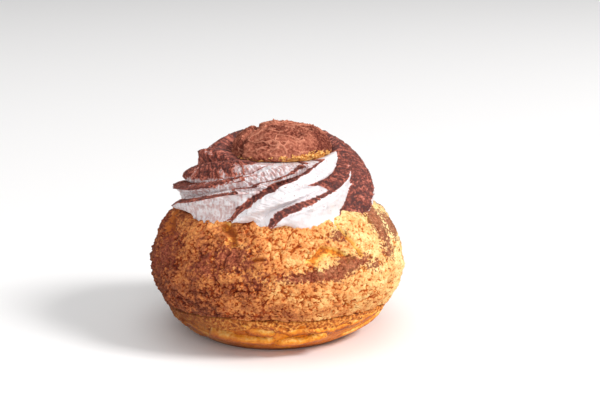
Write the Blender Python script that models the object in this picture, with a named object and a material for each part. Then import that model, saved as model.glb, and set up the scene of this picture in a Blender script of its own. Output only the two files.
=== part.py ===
"""Cream puff: a choux bun under a cracked biscuit crust, its top sliced off, a swirl of whipped cream
piped onto the cut, and the sliced cap set back on top of the cream.

Three solids, each a skin of rings round the Z axis: choux_bun, cream_swirl and choux_cap. Azimuths are
in degrees from the front (-Y), growing towards +X, so the front of the puff is azimuth 0.
"""

import math

import bmesh
import bpy
from mathutils import Vector, noise

MM = 0.001
FIT_GAP = 0.35 * MM  # clearance between a piece and the one that rests on it

# The bun: its widest ring, the two half ovals above and below it, and the belly under the crust.
BUN_RADIUS = 39.2 * MM
BUN_WIDEST_Z = 22.0 * MM
BUN_UPPER_HEIGHT = 28.0 * MM  # where the upper oval would close if it weren't cut
BUN_LOWER_HEIGHT = 29.3 * MM  # where the lower oval would close if it had no flat base
BUN_SHOULDER_POWER = 1.9
BUN_LOWER_POWER = 1.6
BUN_CUT_Z = 43.4 * MM
BELLY_BULGE = 1.3 * MM
BELLY_Z = 5.5 * MM
BELLY_SPREAD = 4.2 * MM
BASE_SHIFT_X = -1.2 * MM  # the puff leans out over its base
BASE_SHIFT_HEIGHT = 12.0 * MM  # and stands straight again from here up
BUN_COLUMNS = 108
BUN_BARE_ROWS = 9
BUN_CRUST_ROWS = 15
BARE_ROW_CROWDING = 1.3  # draws the bare rows together near the base, where the bun curves in
BARE_TOP_SHARE = 0.98  # the last bare row is tucked close under the crust's rim

# The biscuit crust that drapes the bun, and what is cracked and creased in it.
CRUST_THICKNESS = 1.1 * MM
CRUST_RIM_Z = 12.0 * MM
CRUST_RIM_RISE = 1.6 * MM  # the rim is this much higher at the front and lower at the back
CRUST_RIM_WAVE = 1.7 * MM
CRUST_RIM_WAVE_TURN = 0.55  # radians round the bun that a wave takes
LUMP_SIZE = 15.0 * MM
LUMP_HEIGHT = 1.3 * MM
PLATE_SIZE = 7.5 * MM  # the crust cracks into plates of about this size
PLATE_CRACK_DEPTH = 1.2 * MM
PLATE_CRACK_REACH = 0.3  # share of a plate over which it falls off towards a crack
PLATE_CRACK_WANDER = 0.25  # how far the cracks stray from straight lines, as a share of a plate
CRAG_SIZE = 5.5 * MM
CRAG_HEIGHT = 0.9 * MM
CREASE_SPACING = 4.4 * MM
CREASE_DEPTH = 0.7 * MM
CREASE_WANDER = 1.8 * MM
CREASE_WANDER_SIZE = 9.0 * MM
BASE_SMOOTHING = 4.0 * MM  # height over which the relief runs out above the flat base
CUT_SMOOTHING = 2.0 * MM  # and below the cut
SPLIT_FLOOR = 0.25  # share of a split's half width that lies at its full depth
# Where the crust split open as it rose: (azimuth, height in mm) along each split, then its half width
# and its depth in mm.
CRUST_SPLITS = (
    (((33, 43), (38, 40), (41, 36), (44, 31)), 2.2, 2.0),
    (((20, 34), (29, 34.5), (37, 32.5)), 2.6, 1.7),
    (((-29, 39.5), (-24, 37)), 2.6, 1.8),
    (((60, 42), (66, 37)), 2.2, 1.5),
    (((-72, 41), (-62, 36)), 2.2, 1.5),
    (((-12, 33), (4, 31), (14, 29.5)), 1.8, 1.1),
    (((118, 41), (128, 34), (124, 28)), 2.4, 1.9),
    (((168, 42), (176, 36), (188, 32)), 2.3, 1.8),
    (((-140, 40), (-128, 35), (-112, 33)), 2.4, 1.7),
)

# The piped cream: a dome whose ridges climb and turn as the nozzle does, with a seat for the cap on top.
CREAM_RADIUS = 28.0 * MM  # of the valleys between the ridges
CREAM_FOOT_Z = 41.0 * MM
CREAM_RISE = 26.0 * MM  # how high the dome would rise if it closed over the middle
CREAM_RIM_TURN = 50.0  # degrees of the dome's arc at the rim round the cap
CREAM_FOOT_X = -1.6 * MM
CREAM_RIM_X = 0.9 * MM
FRONT_DIP = 0.27  # share of the rise that the front lacks
FOOT_TUCK = 0.3 * MM
FOOT_SUNK = 0.9 * MM
FOOT_CLIMB = 0.2  # share of the climb over which the foot settles onto the bun
SEAT_CLEARANCE = 0.5 * MM
CREAM_ROWS = 22
# For each ridge: its azimuth at the foot, the azimuth that it seems to start from once it turns at full
# pace, the share of the climb over which it swings from one to the other, how far it stands out of the
# valleys in mm, and how many degrees wide the ledge above it is at the foot and at the rim. The nozzle's
# teeth don't land evenly.
RIDGES = (
    (-155, -108, 0.45, 4.9, 7, 8),
    (-90, -85, 0.3, 5.0, 4, 6),
    (-30, -68, 0.7, 3.9, 5, 6),
    (-4, -15, 0.25, 4.2, 6, 20),
    (58, 26, 0.6, 4.4, 15, 30),
    (104, 110, 0.4, 4.2, 8, 12),
    (150, 177, 0.4, 3.9, 8, 12),
    (190, 212, 0.4, 3.9, 8, 12),
)
RIDGE_TURN = 118.0  # degrees that a ridge turns up to the rim, if it kept its pace
RIDGE_PACE = 1.88
RIDGE_SLOW_START = 0.07
LEDGE_SHARE = 0.6  # the most of the way between two crests that a ledge takes
RISER_COLUMNS = 10
RISER_CROWDING = 1.2  # draws the columns together near the crest
LEDGE_COLUMNS = 3
RISER_POWER = 1.3
CREST_DROOP = 0.9 * MM
LIFT_START = 0.3  # share of the climb from which the ridges turn from standing outwards to standing upwards
LIFT_END = 0.9
LIFT_INWARD = 0.3  # share of its outward stand that a ridge loses by then
LIFT_UPWARD = 0.5  # share of its stand that it then has upwards
RIM_THINNING = 0.6  # share by which the ridges are lower at the rim
LOBE_CLIMB = 0.16  # share of the climb over which the round lobes at the foot turn into ridges
LOBE_ROUNDING = 0.6
# The lobes that the cream spread into where it landed: azimuth from and to, and how far each stands out in mm.
LOBES = (
    (-68, -26, 2.6),
    (-20, -11, 1.2),
    (-11, 7, 2.4),
    (7, 45, 2.7),
    (45, 72, 3.0),
    (72, 112, 2.8),
    (112, 140, 2.4),
    (140, 183, 2.9),
    (183, 215, 2.5),
    (215, 254, 2.9),
    (254, 292, 2.6),
)
TEAR_SIZE = 4.5 * MM
TEAR_DEPTH = 0.16  # share of a ridge's height
# One riser folds over itself: it bulges, steps in to a short ledge, and bulges again as a lobe under the cap.
FOLD_RIDGE = 2
FOLD_HEIGHT = 1.3 * MM
FOLD_BULGE = (0.42, 0.07)  # the climb in the middle of each, and how far it reaches
FOLD_LEDGE = (0.55, 0.06)
FOLD_LOBE = (0.76, 0.12)
FOLD_START = 0.2  # share of the way down the riser from which the fold runs in
# The cream's root inside the bun, from the foot down: share of the foot's radius, and depth under the foot.
CREAM_ROOT = ((0.93, 2.5 * MM), (0.8, 4.0 * MM))
SEAT_FLOOR_SHARES = (0.97, 0.5)  # rings across the seat's floor, as shares of its radius

# The cap that was sliced off, set back on the cream.
CAP_X = 0.8 * MM
CAP_Y = -0.3 * MM
CAP_RADIUS = 16.1 * MM  # from side to side
CAP_NARROWING = 0.08  # share by which it is narrower from front to back
CAP_UNDERSIDE_Z = 56.5 * MM
CAP_HEIGHT = 9.8 * MM
CAP_EDGE_HEIGHT = 1.5 * MM
CAP_EDGE_ROWS = ((0.95, 0.0), (1.0, 0.6 * MM))  # share of the radius and height, up the torn edge
CAP_DOME_POWER = 2.5
CAP_RAGGED = 0.8 * MM
CAP_RAGGED_TURN = 0.45  # radians round the edge that a tooth takes
CAP_WRINKLE_SIZE = 4.2 * MM
CAP_WRINKLE = 0.8 * MM
CAP_LUMP_SIZE = 9.2 * MM
CAP_RELIEF_LEAN = 0.4  # how much of the relief points outwards at the edge
CAP_COLUMNS = 54
CAP_ROWS = 9
CAP_TOP_TURN = 0.98  # share of the dome's quarter turn at which its small top face lies
# A split parts a small lump from the cap's left: (right, back) in mm from the cap's middle.
CAP_SPLIT = ((-12.6, -9.0), (-9.6, -2.0), (-7.0, 4.0), (-6.4, 11.0))
CAP_SPLIT_HALF_WIDTH = 2.0 * MM
CAP_SPLIT_DEPTH = 2.2 * MM

# One seed for each kind of unevenness, so that no two follow the same pattern.
LUMPS, CRAGS, CREASES, RIM_WAVES, TEARS, CAP_LUMPS, CAP_WRINKLES, CAP_TEETH = range(1, 9)
CRACK_WANDERS = (9, 10, 11)


def smooth_step(low, high, value):
    """0 below low, 1 above high, and an easy curve between them."""
    share = min(1.0, max(0.0, (value - low) / (high - low)))
    return share * share * (3.0 - 2.0 * share)


def around(azimuth, radius, height):
    """The point at this azimuth in degrees, radius and height, in metres."""
    turn = math.radians(azimuth)
    return Vector((radius * math.sin(turn), -radius * math.cos(turn), height))


def roughness(point, size, seed):
    """Smooth noise from -1 to 1 whose lumps are about this size, different for each seed."""
    return noise.noise(point / size + Vector((seed * 7.3, seed * 3.1, seed * 5.7)))


def ring_roughness(azimuth, turn, seed):
    """The same along a ring round the Z axis, in waves that each take about this many radians."""
    return roughness(around(azimuth, 1.0, 0.0), turn, seed)


def distance_to_path(point, path):
    """Distance from the point to the nearest place on a path of straight runs."""
    nearest = math.inf
    for start, end in zip(path, path[1:]):
        run = end - start
        share = (point - start).dot(run) / run.length_squared
        nearest = min(nearest, (point - start - run * min(1.0, max(0.0, share))).length)
    return nearest


def ringed_solid(name, rings, material):
    """A closed mesh of triangles through rings of points, bottom to top, with flat faces across its ends."""
    mesh = bmesh.new()
    loops = [[mesh.verts.new(point) for point in ring] for ring in rings]
    for lower, upper in zip(loops, loops[1:]):
        for index in range(len(lower)):
            beside = (index + 1) % len(lower)
            mesh.faces.new((lower[index], lower[beside], upper[beside], upper[index]))
    mesh.faces.new(reversed(loops[0]))
    mesh.faces.new(loops[-1])
    bmesh.ops.triangulate(mesh, faces=mesh.faces)
    data = bpy.data.meshes.new(name)
    mesh.to_mesh(data)
    mesh.free()
    data.materials.append(material)
    data.shade_smooth()
    solid = bpy.data.objects.new(name, data)
    bpy.context.scene.collection.objects.link(solid)
    return solid


def food_material(name, colour, roughness_value):
    """A plain finish: base colour and roughness."""
    material = bpy.data.materials.new(name)
    material.use_nodes = True
    shader = material.node_tree.nodes["Principled BSDF"]
    shader.inputs["Base Color"].default_value = (*colour, 1.0)
    shader.inputs["Roughness"].default_value = roughness_value
    shader.inputs["Metallic"].default_value = 0.0
    return material


# ---------------------------------------------------------------- the bun


def bun_radius_at(height):
    """Radius of the bun's smooth outline at this height."""
    if height > BUN_WIDEST_Z:
        share = (height - BUN_WIDEST_Z) / BUN_UPPER_HEIGHT
        return BUN_RADIUS * math.sqrt(1.0 - share**BUN_SHOULDER_POWER)
    share = (BUN_WIDEST_Z - height) / BUN_LOWER_HEIGHT
    belly = BELLY_BULGE * math.exp(-(((height - BELLY_Z) / BELLY_SPREAD) ** 2))
    return BUN_RADIUS * math.sqrt(1.0 - share**BUN_LOWER_POWER) + belly


def bun_height_at(radius):
    """Height of the bun's smooth upper oval at this distance from its axis."""
    flat = 1.0 - (radius / BUN_RADIUS) ** 2
    return BUN_WIDEST_Z + BUN_UPPER_HEIGHT * flat ** (1.0 / BUN_SHOULDER_POWER)


def crust_rim(azimuth):
    """Height of the crust's wavy lower rim at this azimuth."""
    wave = CRUST_RIM_WAVE * ring_roughness(azimuth, CRUST_RIM_WAVE_TURN, RIM_WAVES)
    return CRUST_RIM_Z + CRUST_RIM_RISE * math.cos(math.radians(azimuth)) + wave


def split_depth(point):
    """Depth of the crust's splits at a point of the bun's smooth outline."""
    depth = 0.0
    for path, half_width, deepest in CRUST_SPLITS:
        points = [around(azimuth, bun_radius_at(z * MM), z * MM) for azimuth, z in path]
        near = distance_to_path(point, points) / (half_width * MM)
        depth = max(depth, deepest * MM * (1.0 - smooth_step(SPLIT_FLOOR, 1.0, near)))
    return depth


def plate_crack(point):
    """1 in the cracks between the crust's plates, 0 out on the plates."""
    wander = Vector(roughness(point, CRAG_SIZE, seed) for seed in CRACK_WANDERS)
    distances, _ = noise.voronoi(point / PLATE_SIZE + PLATE_CRACK_WANDER * wander)
    return 1.0 - smooth_step(0.0, PLATE_CRACK_REACH, distances[1] - distances[0])


def crust_relief(point):
    """How far the cracked crust stands out of the smooth outline."""
    lumps = LUMP_HEIGHT * roughness(point, LUMP_SIZE, LUMPS)
    crags = CRAG_HEIGHT * roughness(point, CRAG_SIZE, CRAGS)
    cracks = max(PLATE_CRACK_DEPTH * plate_crack(point), split_depth(point))
    return CRUST_THICKNESS + lumps + crags - cracks


def bare_relief(point):
    """The same for the smoother choux under the crust's rim, creased by its rise."""
    lumps = LUMP_HEIGHT * roughness(point, LUMP_SIZE, LUMPS)
    wave = point.z + CREASE_WANDER * roughness(point, CREASE_WANDER_SIZE, CREASES)
    crease = CREASE_DEPTH * (0.5 + 0.5 * math.sin(2.0 * math.pi * wave / CREASE_SPACING))
    return smooth_step(0.0, BASE_SMOOTHING, point.z) * (lumps - crease)


def bun_point(azimuth, share, crusted, grow):
    """A point of the bun: share runs from the base to the crust's rim or, crusted, from there to the cut."""
    rim = crust_rim(azimuth)
    height = rim + (BUN_CUT_Z - rim) * share if crusted else rim * share
    radius = bun_radius_at(height)
    smooth = around(azimuth, radius, height)
    relief = crust_relief(smooth) if crusted else bare_relief(smooth)
    relief = relief * (1.0 - smooth_step(BUN_CUT_Z - CUT_SMOOTHING, BUN_CUT_Z, height)) + grow
    slope = max(0.0, height - BUN_WIDEST_Z) / BUN_UPPER_HEIGHT
    lean = BASE_SHIFT_X * (1.0 - smooth_step(0.0, BASE_SHIFT_HEIGHT, height))
    point = around(azimuth, radius + relief * math.sqrt(1.0 - slope * slope), height + relief * slope)
    return point + Vector((lean, 0.0, 0.0))


def bun_rings(grow=0.0):
    """The bun's rings from the base to the cut. grow makes them larger all round, for a cutter."""
    bare = [BARE_TOP_SHARE * (row / BUN_BARE_ROWS) ** BARE_ROW_CROWDING for row in range(BUN_BARE_ROWS + 1)]
    crusted = [row / BUN_CRUST_ROWS for row in range(BUN_CRUST_ROWS + 1)]
    rows = [(share, False) for share in bare] + [(share, True) for share in crusted]
    azimuths = [360.0 * column / BUN_COLUMNS for column in range(BUN_COLUMNS)]
    rings = [[bun_point(azimuth, *row, grow) for azimuth in azimuths] for row in rows]
    for point in rings[-1]:
        point.z = BUN_CUT_Z + grow
    return rings


# ---------------------------------------------------------------- the cap


def cap_edge(azimuth):
    """Radius of the cap's ragged edge at this azimuth."""
    oval = CAP_RADIUS * (1.0 - CAP_NARROWING * math.cos(math.radians(azimuth)) ** 2)
    return oval + CAP_RAGGED * ring_roughness(azimuth, CAP_RAGGED_TURN, CAP_TEETH)


def cap_relief(point):
    """Height of the cap's wrinkles and of its split at a point of its smooth dome."""
    lumps = CAP_WRINKLE * roughness(point, CAP_LUMP_SIZE, CAP_LUMPS)
    wrinkles = CAP_WRINKLE * roughness(point, CAP_WRINKLE_SIZE, CAP_WRINKLES)
    path = [Vector((right * MM, back * MM, 0.0)) for right, back in CAP_SPLIT]
    near = distance_to_path(Vector((point.x, point.y, 0.0)), path) / CAP_SPLIT_HALF_WIDTH
    return lumps + wrinkles - CAP_SPLIT_DEPTH * (1.0 - smooth_step(SPLIT_FLOOR, 1.0, near))


def cap_point(azimuth, share, height):
    """A point of the cap at this share of the way out to its edge and this height over its underside."""
    place = around(azimuth, share * cap_edge(azimuth), height)
    relief = cap_relief(place) * smooth_step(0.0, 2.0 * CAP_EDGE_HEIGHT, height)
    lean = CAP_RELIEF_LEAN * share
    outward = around(azimuth, (relief - CAP_WRINKLE) * lean, relief * (1.0 - lean))
    return place + outward + Vector((CAP_X, CAP_Y, CAP_UNDERSIDE_Z))


def cap_rings():
    """The cap's rings: the flat cut underneath, a ragged edge, and the dome."""
    rows = list(CAP_EDGE_ROWS)
    for row in range(CAP_ROWS + 1):
        turn = 0.5 * math.pi * min(CAP_TOP_TURN, row / CAP_ROWS)
        rise = (CAP_HEIGHT - CAP_EDGE_HEIGHT) * math.sin(turn) ** (2.0 / CAP_DOME_POWER)
        rows.append((math.cos(turn) ** (2.0 / CAP_DOME_POWER), CAP_EDGE_HEIGHT + rise))
    azimuths = [360.0 * column / CAP_COLUMNS for column in range(CAP_COLUMNS)]
    return [[cap_point(azimuth, share, height) for azimuth in azimuths] for share, height in rows]


# ---------------------------------------------------------------- the cream


def ridge_turn(climb):
    """Degrees that the ridges have turned at this share of the climb."""
    return RIDGE_TURN * climb**RIDGE_PACE / (climb + RIDGE_SLOW_START)


def ridge_section(across):
    """A ridge's section, 1 at its crest and 0 in the valley: a long riser below it, then a short ledge."""
    return 1.0 - across**RISER_POWER if across < 1.0 else across - 1.0


def lobe_height(azimuth):
    """How far the lobes at the foot stand out at this azimuth."""
    for start, end, stand in LOBES:
        share = (azimuth - start) % 360 / (end - start)
        if share < 1.0:
            return stand * MM * math.sin(math.pi * share) ** LOBE_ROUNDING
    return 0.0


def hump(middle_and_reach, climb):
    """1 at the middle climb, easing to 0 a little beyond its reach."""
    middle, reach = middle_and_reach
    return math.exp(-(((climb - middle) / reach) ** 2))


def fold_height(ridge, across, climb):
    """How far the folded riser stands out, or in where it is below 0."""
    if ridge != FOLD_RIDGE or across > 1.0:
        return 0.0
    beside = math.sin(math.pi * smooth_step(FOLD_START, 1.0, across) ** 0.7)
    return FOLD_HEIGHT * beside * (hump(FOLD_BULGE, climb) - hump(FOLD_LEDGE, climb) + hump(FOLD_LOBE, climb))


def cream_point(ridge, across, climb):
    """A point of the cream: across is 0 on a ridge's crest, 1 in the valley and 2 on the next crest."""
    foot, run, run_in, stand, *_ = RIDGES[ridge]
    next_foot, next_run, next_run_in, next_stand, ledge_low, ledge_high = RIDGES[(ridge + 1) % len(RIDGES)]
    next_foot = foot + (next_foot - foot) % 360
    next_run = run + (next_run - run) % 360
    crest = foot + (run - foot) * smooth_step(0.0, run_in, climb)
    gap = next_foot + (next_run - next_foot) * smooth_step(0.0, next_run_in, climb) - crest
    ledge = min(LEDGE_SHARE, (ledge_low + (ledge_high - ledge_low) * climb) / gap)
    share = across * (1.0 - ledge) if across < 1.0 else 1.0 - ledge * (2.0 - across)
    azimuth = crest + share * gap + ridge_turn(climb)
    stand += (next_stand - stand) * share
    stand *= MM * (1.0 - RIM_THINNING * smooth_step(LIFT_START, 1.0, climb))

    as_ridge = smooth_step(0.0, LOBE_CLIMB, climb)
    section = as_ridge * ridge_section(across)
    turn = math.radians(CREAM_RIM_TURN * climb)
    radius = CREAM_RADIUS * math.cos(turn)
    dip = FRONT_DIP * (0.5 + 0.5 * math.cos(math.radians(azimuth))) ** 1.5
    height = CREAM_FOOT_Z + CREAM_RISE * math.sin(turn) * (1.0 - dip)
    torn = 1.0 + TEAR_DEPTH * roughness(around(azimuth, radius, height), TEAR_SIZE, TEARS)

    lift = smooth_step(LIFT_START, LIFT_END, climb)
    at_foot = 1.0 - smooth_step(0.0, FOOT_CLIMB, climb)
    radius += stand * section * torn * (1.0 - LIFT_INWARD * lift) - FOOT_TUCK * at_foot * at_foot
    radius += fold_height(ridge, across, climb) + (1.0 - as_ridge) * lobe_height(azimuth)
    height += stand * section * torn * LIFT_UPWARD * lift - CREST_DROOP * section**3 * (1.0 - lift)
    height += (bun_height_at(radius) - FOOT_SUNK - height) * at_foot
    lean = CREAM_FOOT_X + (CREAM_RIM_X - CREAM_FOOT_X) * climb
    return around(azimuth, radius, height) + Vector((lean, 0.0, 0.0))


def seat_point(rim_point, share, height):
    """A point of the seat under the cap, beside this point of the rim: share 1 is clear of the cap's edge."""
    from_cap = rim_point - Vector((CAP_X, CAP_Y, 0.0))
    azimuth = math.degrees(math.atan2(from_cap.x, -from_cap.y))
    place = around(azimuth, share * (cap_edge(azimuth) + SEAT_CLEARANCE), height)
    return place + Vector((CAP_X, CAP_Y, 0.0))


def cream_rings():
    """The cream's rings, from a root inside the bun, up along the turning ridges, and down into the seat."""
    riser = [(column / RISER_COLUMNS) ** RISER_CROWDING for column in range(RISER_COLUMNS)]
    ledge = [1.0 + column / LEDGE_COLUMNS for column in range(LEDGE_COLUMNS)]
    columns = [(ridge, across) for ridge in range(len(RIDGES)) for across in riser + ledge]
    climbs = [row / CREAM_ROWS for row in range(CREAM_ROWS + 1)]
    rings = [[cream_point(ridge, across, climb) for ridge, across in columns] for climb in climbs]
    foot, rim = rings[0], rings[-1]
    for share, depth in CREAM_ROOT:
        rings.insert(0, [Vector((p.x * share, p.y * share, p.z - depth)) for p in foot])
    seat_z = CAP_UNDERSIDE_Z - FIT_GAP
    rings.append([seat_point(p, 1.0, max(seat_z, 0.5 * (p.z + seat_z))) for p in rim])
    for share in SEAT_FLOOR_SHARES:
        rings.append([seat_point(p, share, seat_z) for p in rim])
    return rings


# ---------------------------------------------------------------- assembly


def cut_to_fit(solid, rings, name):
    """Trims a solid by a slightly larger copy of the piece that it meets, which leaves a fine gap."""
    cutter = ringed_solid(name, rings, solid.data.materials[0])
    cutter.hide_render = True
    cutter.display_type = "WIRE"
    trim = solid.modifiers.new(name, "BOOLEAN")
    trim.operation = "DIFFERENCE"
    trim.object = cutter
    return cutter


def centre_over_origin(solids, helpers):
    """Parents everything to one empty, placed so that the whole stands on z = 0 with its box centred."""
    bpy.context.view_layer.update()
    graph = bpy.context.evaluated_depsgraph_get()
    corners = [Vector(corner) for solid in solids for corner in solid.evaluated_get(graph).bound_box]
    middle_x = (min(c.x for c in corners) + max(c.x for c in corners)) / 2.0
    middle_y = (min(c.y for c in corners) + max(c.y for c in corners)) / 2.0
    stand = bpy.data.objects.new("cream_puff", None)
    bpy.context.scene.collection.objects.link(stand)
    stand.location = (-middle_x, -middle_y, 0.0)
    for piece in solids + helpers:
        piece.parent = stand


def build():
    for leftover in list(bpy.data.objects):
        bpy.data.objects.remove(leftover)
    crust = food_material("biscuit_crust", (0.62, 0.31, 0.11), 0.8)
    cream = food_material("whipped_cream", (0.9, 0.87, 0.84), 0.55)
    cocoa = food_material("cocoa_dusted_crust", (0.24, 0.085, 0.05), 0.95)
    bun = ringed_solid("choux_bun", bun_rings(), crust)
    swirl = ringed_solid("cream_swirl", cream_rings(), cream)
    cap = ringed_solid("choux_cap", cap_rings(), cocoa)
    bun_room = cut_to_fit(swirl, bun_rings(FIT_GAP), "room_for_bun")
    centre_over_origin([bun, swirl, cap], [bun_room])


build()
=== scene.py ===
"""Cream puff: a choux bun baked under a cracked biscuit crust, its top sliced off, a tall turned swirl of
whipped cream piped onto the cut, and the sliced cap set back on top, all dusted with cocoa.

Azimuths are in degrees from the front (-Y), growing towards +X. Sizes are in metres.
"""

import math

import bpy
import numpy as np
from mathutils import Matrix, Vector, noise


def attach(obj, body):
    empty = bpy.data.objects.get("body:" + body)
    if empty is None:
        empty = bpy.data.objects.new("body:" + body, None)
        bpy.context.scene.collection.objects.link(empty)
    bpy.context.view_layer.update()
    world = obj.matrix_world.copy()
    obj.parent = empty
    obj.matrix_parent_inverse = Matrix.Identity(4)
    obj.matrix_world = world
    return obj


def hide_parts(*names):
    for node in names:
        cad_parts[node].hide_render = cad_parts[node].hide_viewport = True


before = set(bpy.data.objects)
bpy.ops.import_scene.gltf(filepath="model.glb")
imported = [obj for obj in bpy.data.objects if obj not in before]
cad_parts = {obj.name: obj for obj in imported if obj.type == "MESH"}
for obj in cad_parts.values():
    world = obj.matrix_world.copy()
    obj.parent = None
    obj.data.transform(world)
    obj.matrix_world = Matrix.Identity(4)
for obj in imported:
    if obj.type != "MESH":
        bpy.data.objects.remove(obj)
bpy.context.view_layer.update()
bpy.ops.object.select_all(action="DESELECT")


# ---------------------------------------------------------------- camera, floor and light
# The puff stands on a plain white table and is seen from a little above its shoulders through a long lens.
# A soft window at the right lights it, and a little light comes from above, from the front and from the room.

MM = 0.001
PUFF_AXIS = Vector((0.042, -0.029, 0.0)) * MM  # the bun's own axis
VIEW_DISTANCE = 450 * MM
VIEW_ELEVATION = math.radians(13.0)
VIEW_AIM = PUFF_AXIS + Vector((7.03, 0.0, 30.0)) * MM
VIEW_AIM_UP = 11.18 * MM  # how far above that point the middle of the picture lies

look = Vector((0.0, math.cos(VIEW_ELEVATION), -math.sin(VIEW_ELEVATION)))
picture_up = Vector((0.0, math.sin(VIEW_ELEVATION), math.cos(VIEW_ELEVATION)))
eye = VIEW_AIM + VIEW_AIM_UP * picture_up - VIEW_DISTANCE * look
bpy.ops.object.camera_add(location=eye, rotation=(math.radians(90.0) - VIEW_ELEVATION, 0.0, 0.0))
camera = bpy.context.object
camera.data.lens = 85.0
camera.data.clip_start = 10 * MM
bpy.context.scene.camera = camera
bpy.context.scene.view_settings.view_transform = "Standard"


def srgb(red, green, blue):
    """A colour as a screen shows it, from 0 to 255, as the linear values that a shader takes."""
    shares = [value / 255.0 for value in (red, green, blue)]
    return tuple(s / 12.92 if s <= 0.04045 else ((s + 0.055) / 1.055) ** 2.4 for s in shares) + (1.0,)


def add(tree, kind, inputs=None, **options):
    """Adds a shader node with these options. An input that is a socket is linked, any other value is set."""
    made = tree.nodes.new("ShaderNode" + kind)
    for option, value in options.items():
        setattr(made, option, value)
    for name, value in (inputs or {}).items():
        if isinstance(value, bpy.types.NodeSocket):
            tree.links.new(value, made.inputs[name])
        else:
            made.inputs[name].default_value = value
    return made


def new_material(name, **inputs):
    """A material with a Principled shader whose own sockets are set to these values."""
    material = bpy.data.materials.new(name)
    material.use_nodes = True
    shader = material.node_tree.nodes["Principled BSDF"]
    for socket, value in inputs.items():
        shader.inputs[socket.replace("_", " ")].default_value = value
    return material, material.node_tree, shader


bpy.ops.mesh.primitive_circle_add(vertices=96, radius=4.0, fill_type="NGON", location=(0.0, 0.0, 0.0))
table = bpy.context.object
table.name = "table"
table_paint, tree, shader = new_material("white_table", Roughness=0.9)
shader.inputs["Base Color"].default_value = srgb(250, 250, 250)
table.data.materials.append(table_paint)

room = bpy.data.worlds.new("white_room")
room.use_nodes = True
room.node_tree.nodes["Background"].inputs["Color"].default_value = (1.0, 1.0, 1.0, 1.0)
room.node_tree.nodes["Background"].inputs["Strength"].default_value = 0.38
bpy.context.scene.world = room

# Each lamp: name, azimuth, elevation, distance in metres, size in metres, power in watts, colour.
for name, azimuth, elevation, distance, size, power, colour in (
    ("window", 68.0, 40.0, 2.2, 0.6, 37.0, (1.0, 0.98, 0.975)),
    ("front_fill", -4.0, 24.0, 2.2, 1.4, 16.0, (1.0, 0.985, 0.98)),
    ("ceiling", 0.0, 82.0, 2.0, 1.6, 10.0, (1.0, 0.99, 0.98)),
):
    across, rise = math.radians(azimuth), math.radians(elevation)
    aim = Vector((math.sin(across) * math.cos(rise), -math.cos(across) * math.cos(rise), math.sin(rise)))
    bpy.ops.object.light_add(type="AREA", location=VIEW_AIM + distance * aim)
    lamp = bpy.context.object
    lamp.name = name
    lamp.rotation_euler = aim.to_track_quat("Z", "Y").to_euler()
    lamp.data.size = size
    lamp.data.energy = power
    lamp.data.color = colour


# ---------------------------------------------------------------- the choux body
# The bun is choux paste that puffed up in the oven to a hollow ball. Its belly shows bare under the crust:
# golden, creased and a little glossy, and darker towards the flat underside.
# Made from a grid rolled up into a ball, whose rings are pushed out to the bun's outline.

BUN_RADIUS = 39.2 * MM
BUN_WIDEST_Z = 22.0 * MM
BUN_UPPER_HEIGHT = 28.0 * MM
BUN_LOWER_HEIGHT = 29.3 * MM
BUN_SHOULDER_POWER = 1.9
BUN_LOWER_POWER = 1.6
BELLY_BULGE = 1.3 * MM
BELLY_Z = 5.5 * MM
BELLY_SPREAD = 4.2 * MM
BASE_SHIFT_X = -1.2 * MM
BASE_SHIFT_HEIGHT = 12.0 * MM
BASE_SMOOTHING = 4.0 * MM
RIM_Z = 12.0 * MM  # the crust's lower rim
RIM_RISE = 1.6 * MM
RIM_WAVE = 1.7 * MM
RIM_WAVE_TURN = 0.55  # radians round the bun
RIM_CRUMBLE = 0.45 * MM
RIM_CRUMBLE_TURN = 0.09
LUMP_SIZE = 15.0 * MM
LUMP_HEIGHT = 1.3 * MM
CREASE_SPACING = 4.4 * MM
CREASE_DEPTH = 0.25 * MM
CREASE_SHARPNESS = 0.5
CREASE_WANDER = 2.6 * MM
CREASE_WANDER_SIZE = 9.0 * MM
WRINKLE_SIZE = 1.5 * MM
WRINKLE_HEIGHT = 0.26 * MM
FLAKY_BAND = 3.4 * MM  # how far under the rim the skin is coated with baked crumbs
FLAKY_BAND_RAGGED = 2.2 * MM
FLAKY_BAND_THICKNESS = 0.7 * MM
RIM_GROOVE = 1.0 * MM
UNDERSIDE_PIT = 0.5 * MM
# Folds of dough in the belly: azimuths and heights in mm along each, then its half width and how far it stands
# out in mm.
BELLY_FOLDS = (
    (((-31, 6.4), (-17, 4.9), (-4, 5.2)), 2.7, 2.2),
    (((6, 4.4), (15, 4.7), (24, 5.6)), 2.7, 2.3),
    (((-15, 10.6), (-12, 8.6), (-3, 8.2)), 1.5, 1.2),
    (((-4, 12.0), (2, 9.8), (8, 8.6), (20, 8.8), (31, 7.4)), 1.4, 1.1),
    (((28, 7.8), (45, 8.2), (66, 9.4)), 1.3, 0.8),
    (((46, 3.8), (62, 5.0), (80, 7.4)), 1.9, 0.9),
    (((-36, 4.6), (-48, 6.6), (-62, 8.6)), 1.5, 0.7),
    (((-50, 3.2), (-72, 3.8), (-88, 6.0)), 2.0, 0.8),
    (((92, 3.2), (110, 3.0), (126, 4.6)), 2.4, 1.2),
    (((100, 9.0), (120, 7.6), (140, 8.4)), 1.3, 0.8),
    (((142, 3.2), (165, 2.8), (178, 4.0)), 2.6, 1.3),
    (((160, 8.6), (182, 6.8), (205, 7.8)), 1.4, 0.8),
    (((196, 3.0), (215, 3.4), (236, 5.2)), 2.4, 1.2),
    (((228, 9.0), (246, 8.0), (262, 8.6)), 1.3, 0.7),
)
FOLD_ROUNDING = 0.65
CHOUX_COLUMNS = 540
CHOUX_BASE_ROWS = 20
CHOUX_BELLY_ROWS = 120
CHOUX_HIDDEN_ROWS = 4  # inside the crust, where the body closes
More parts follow.
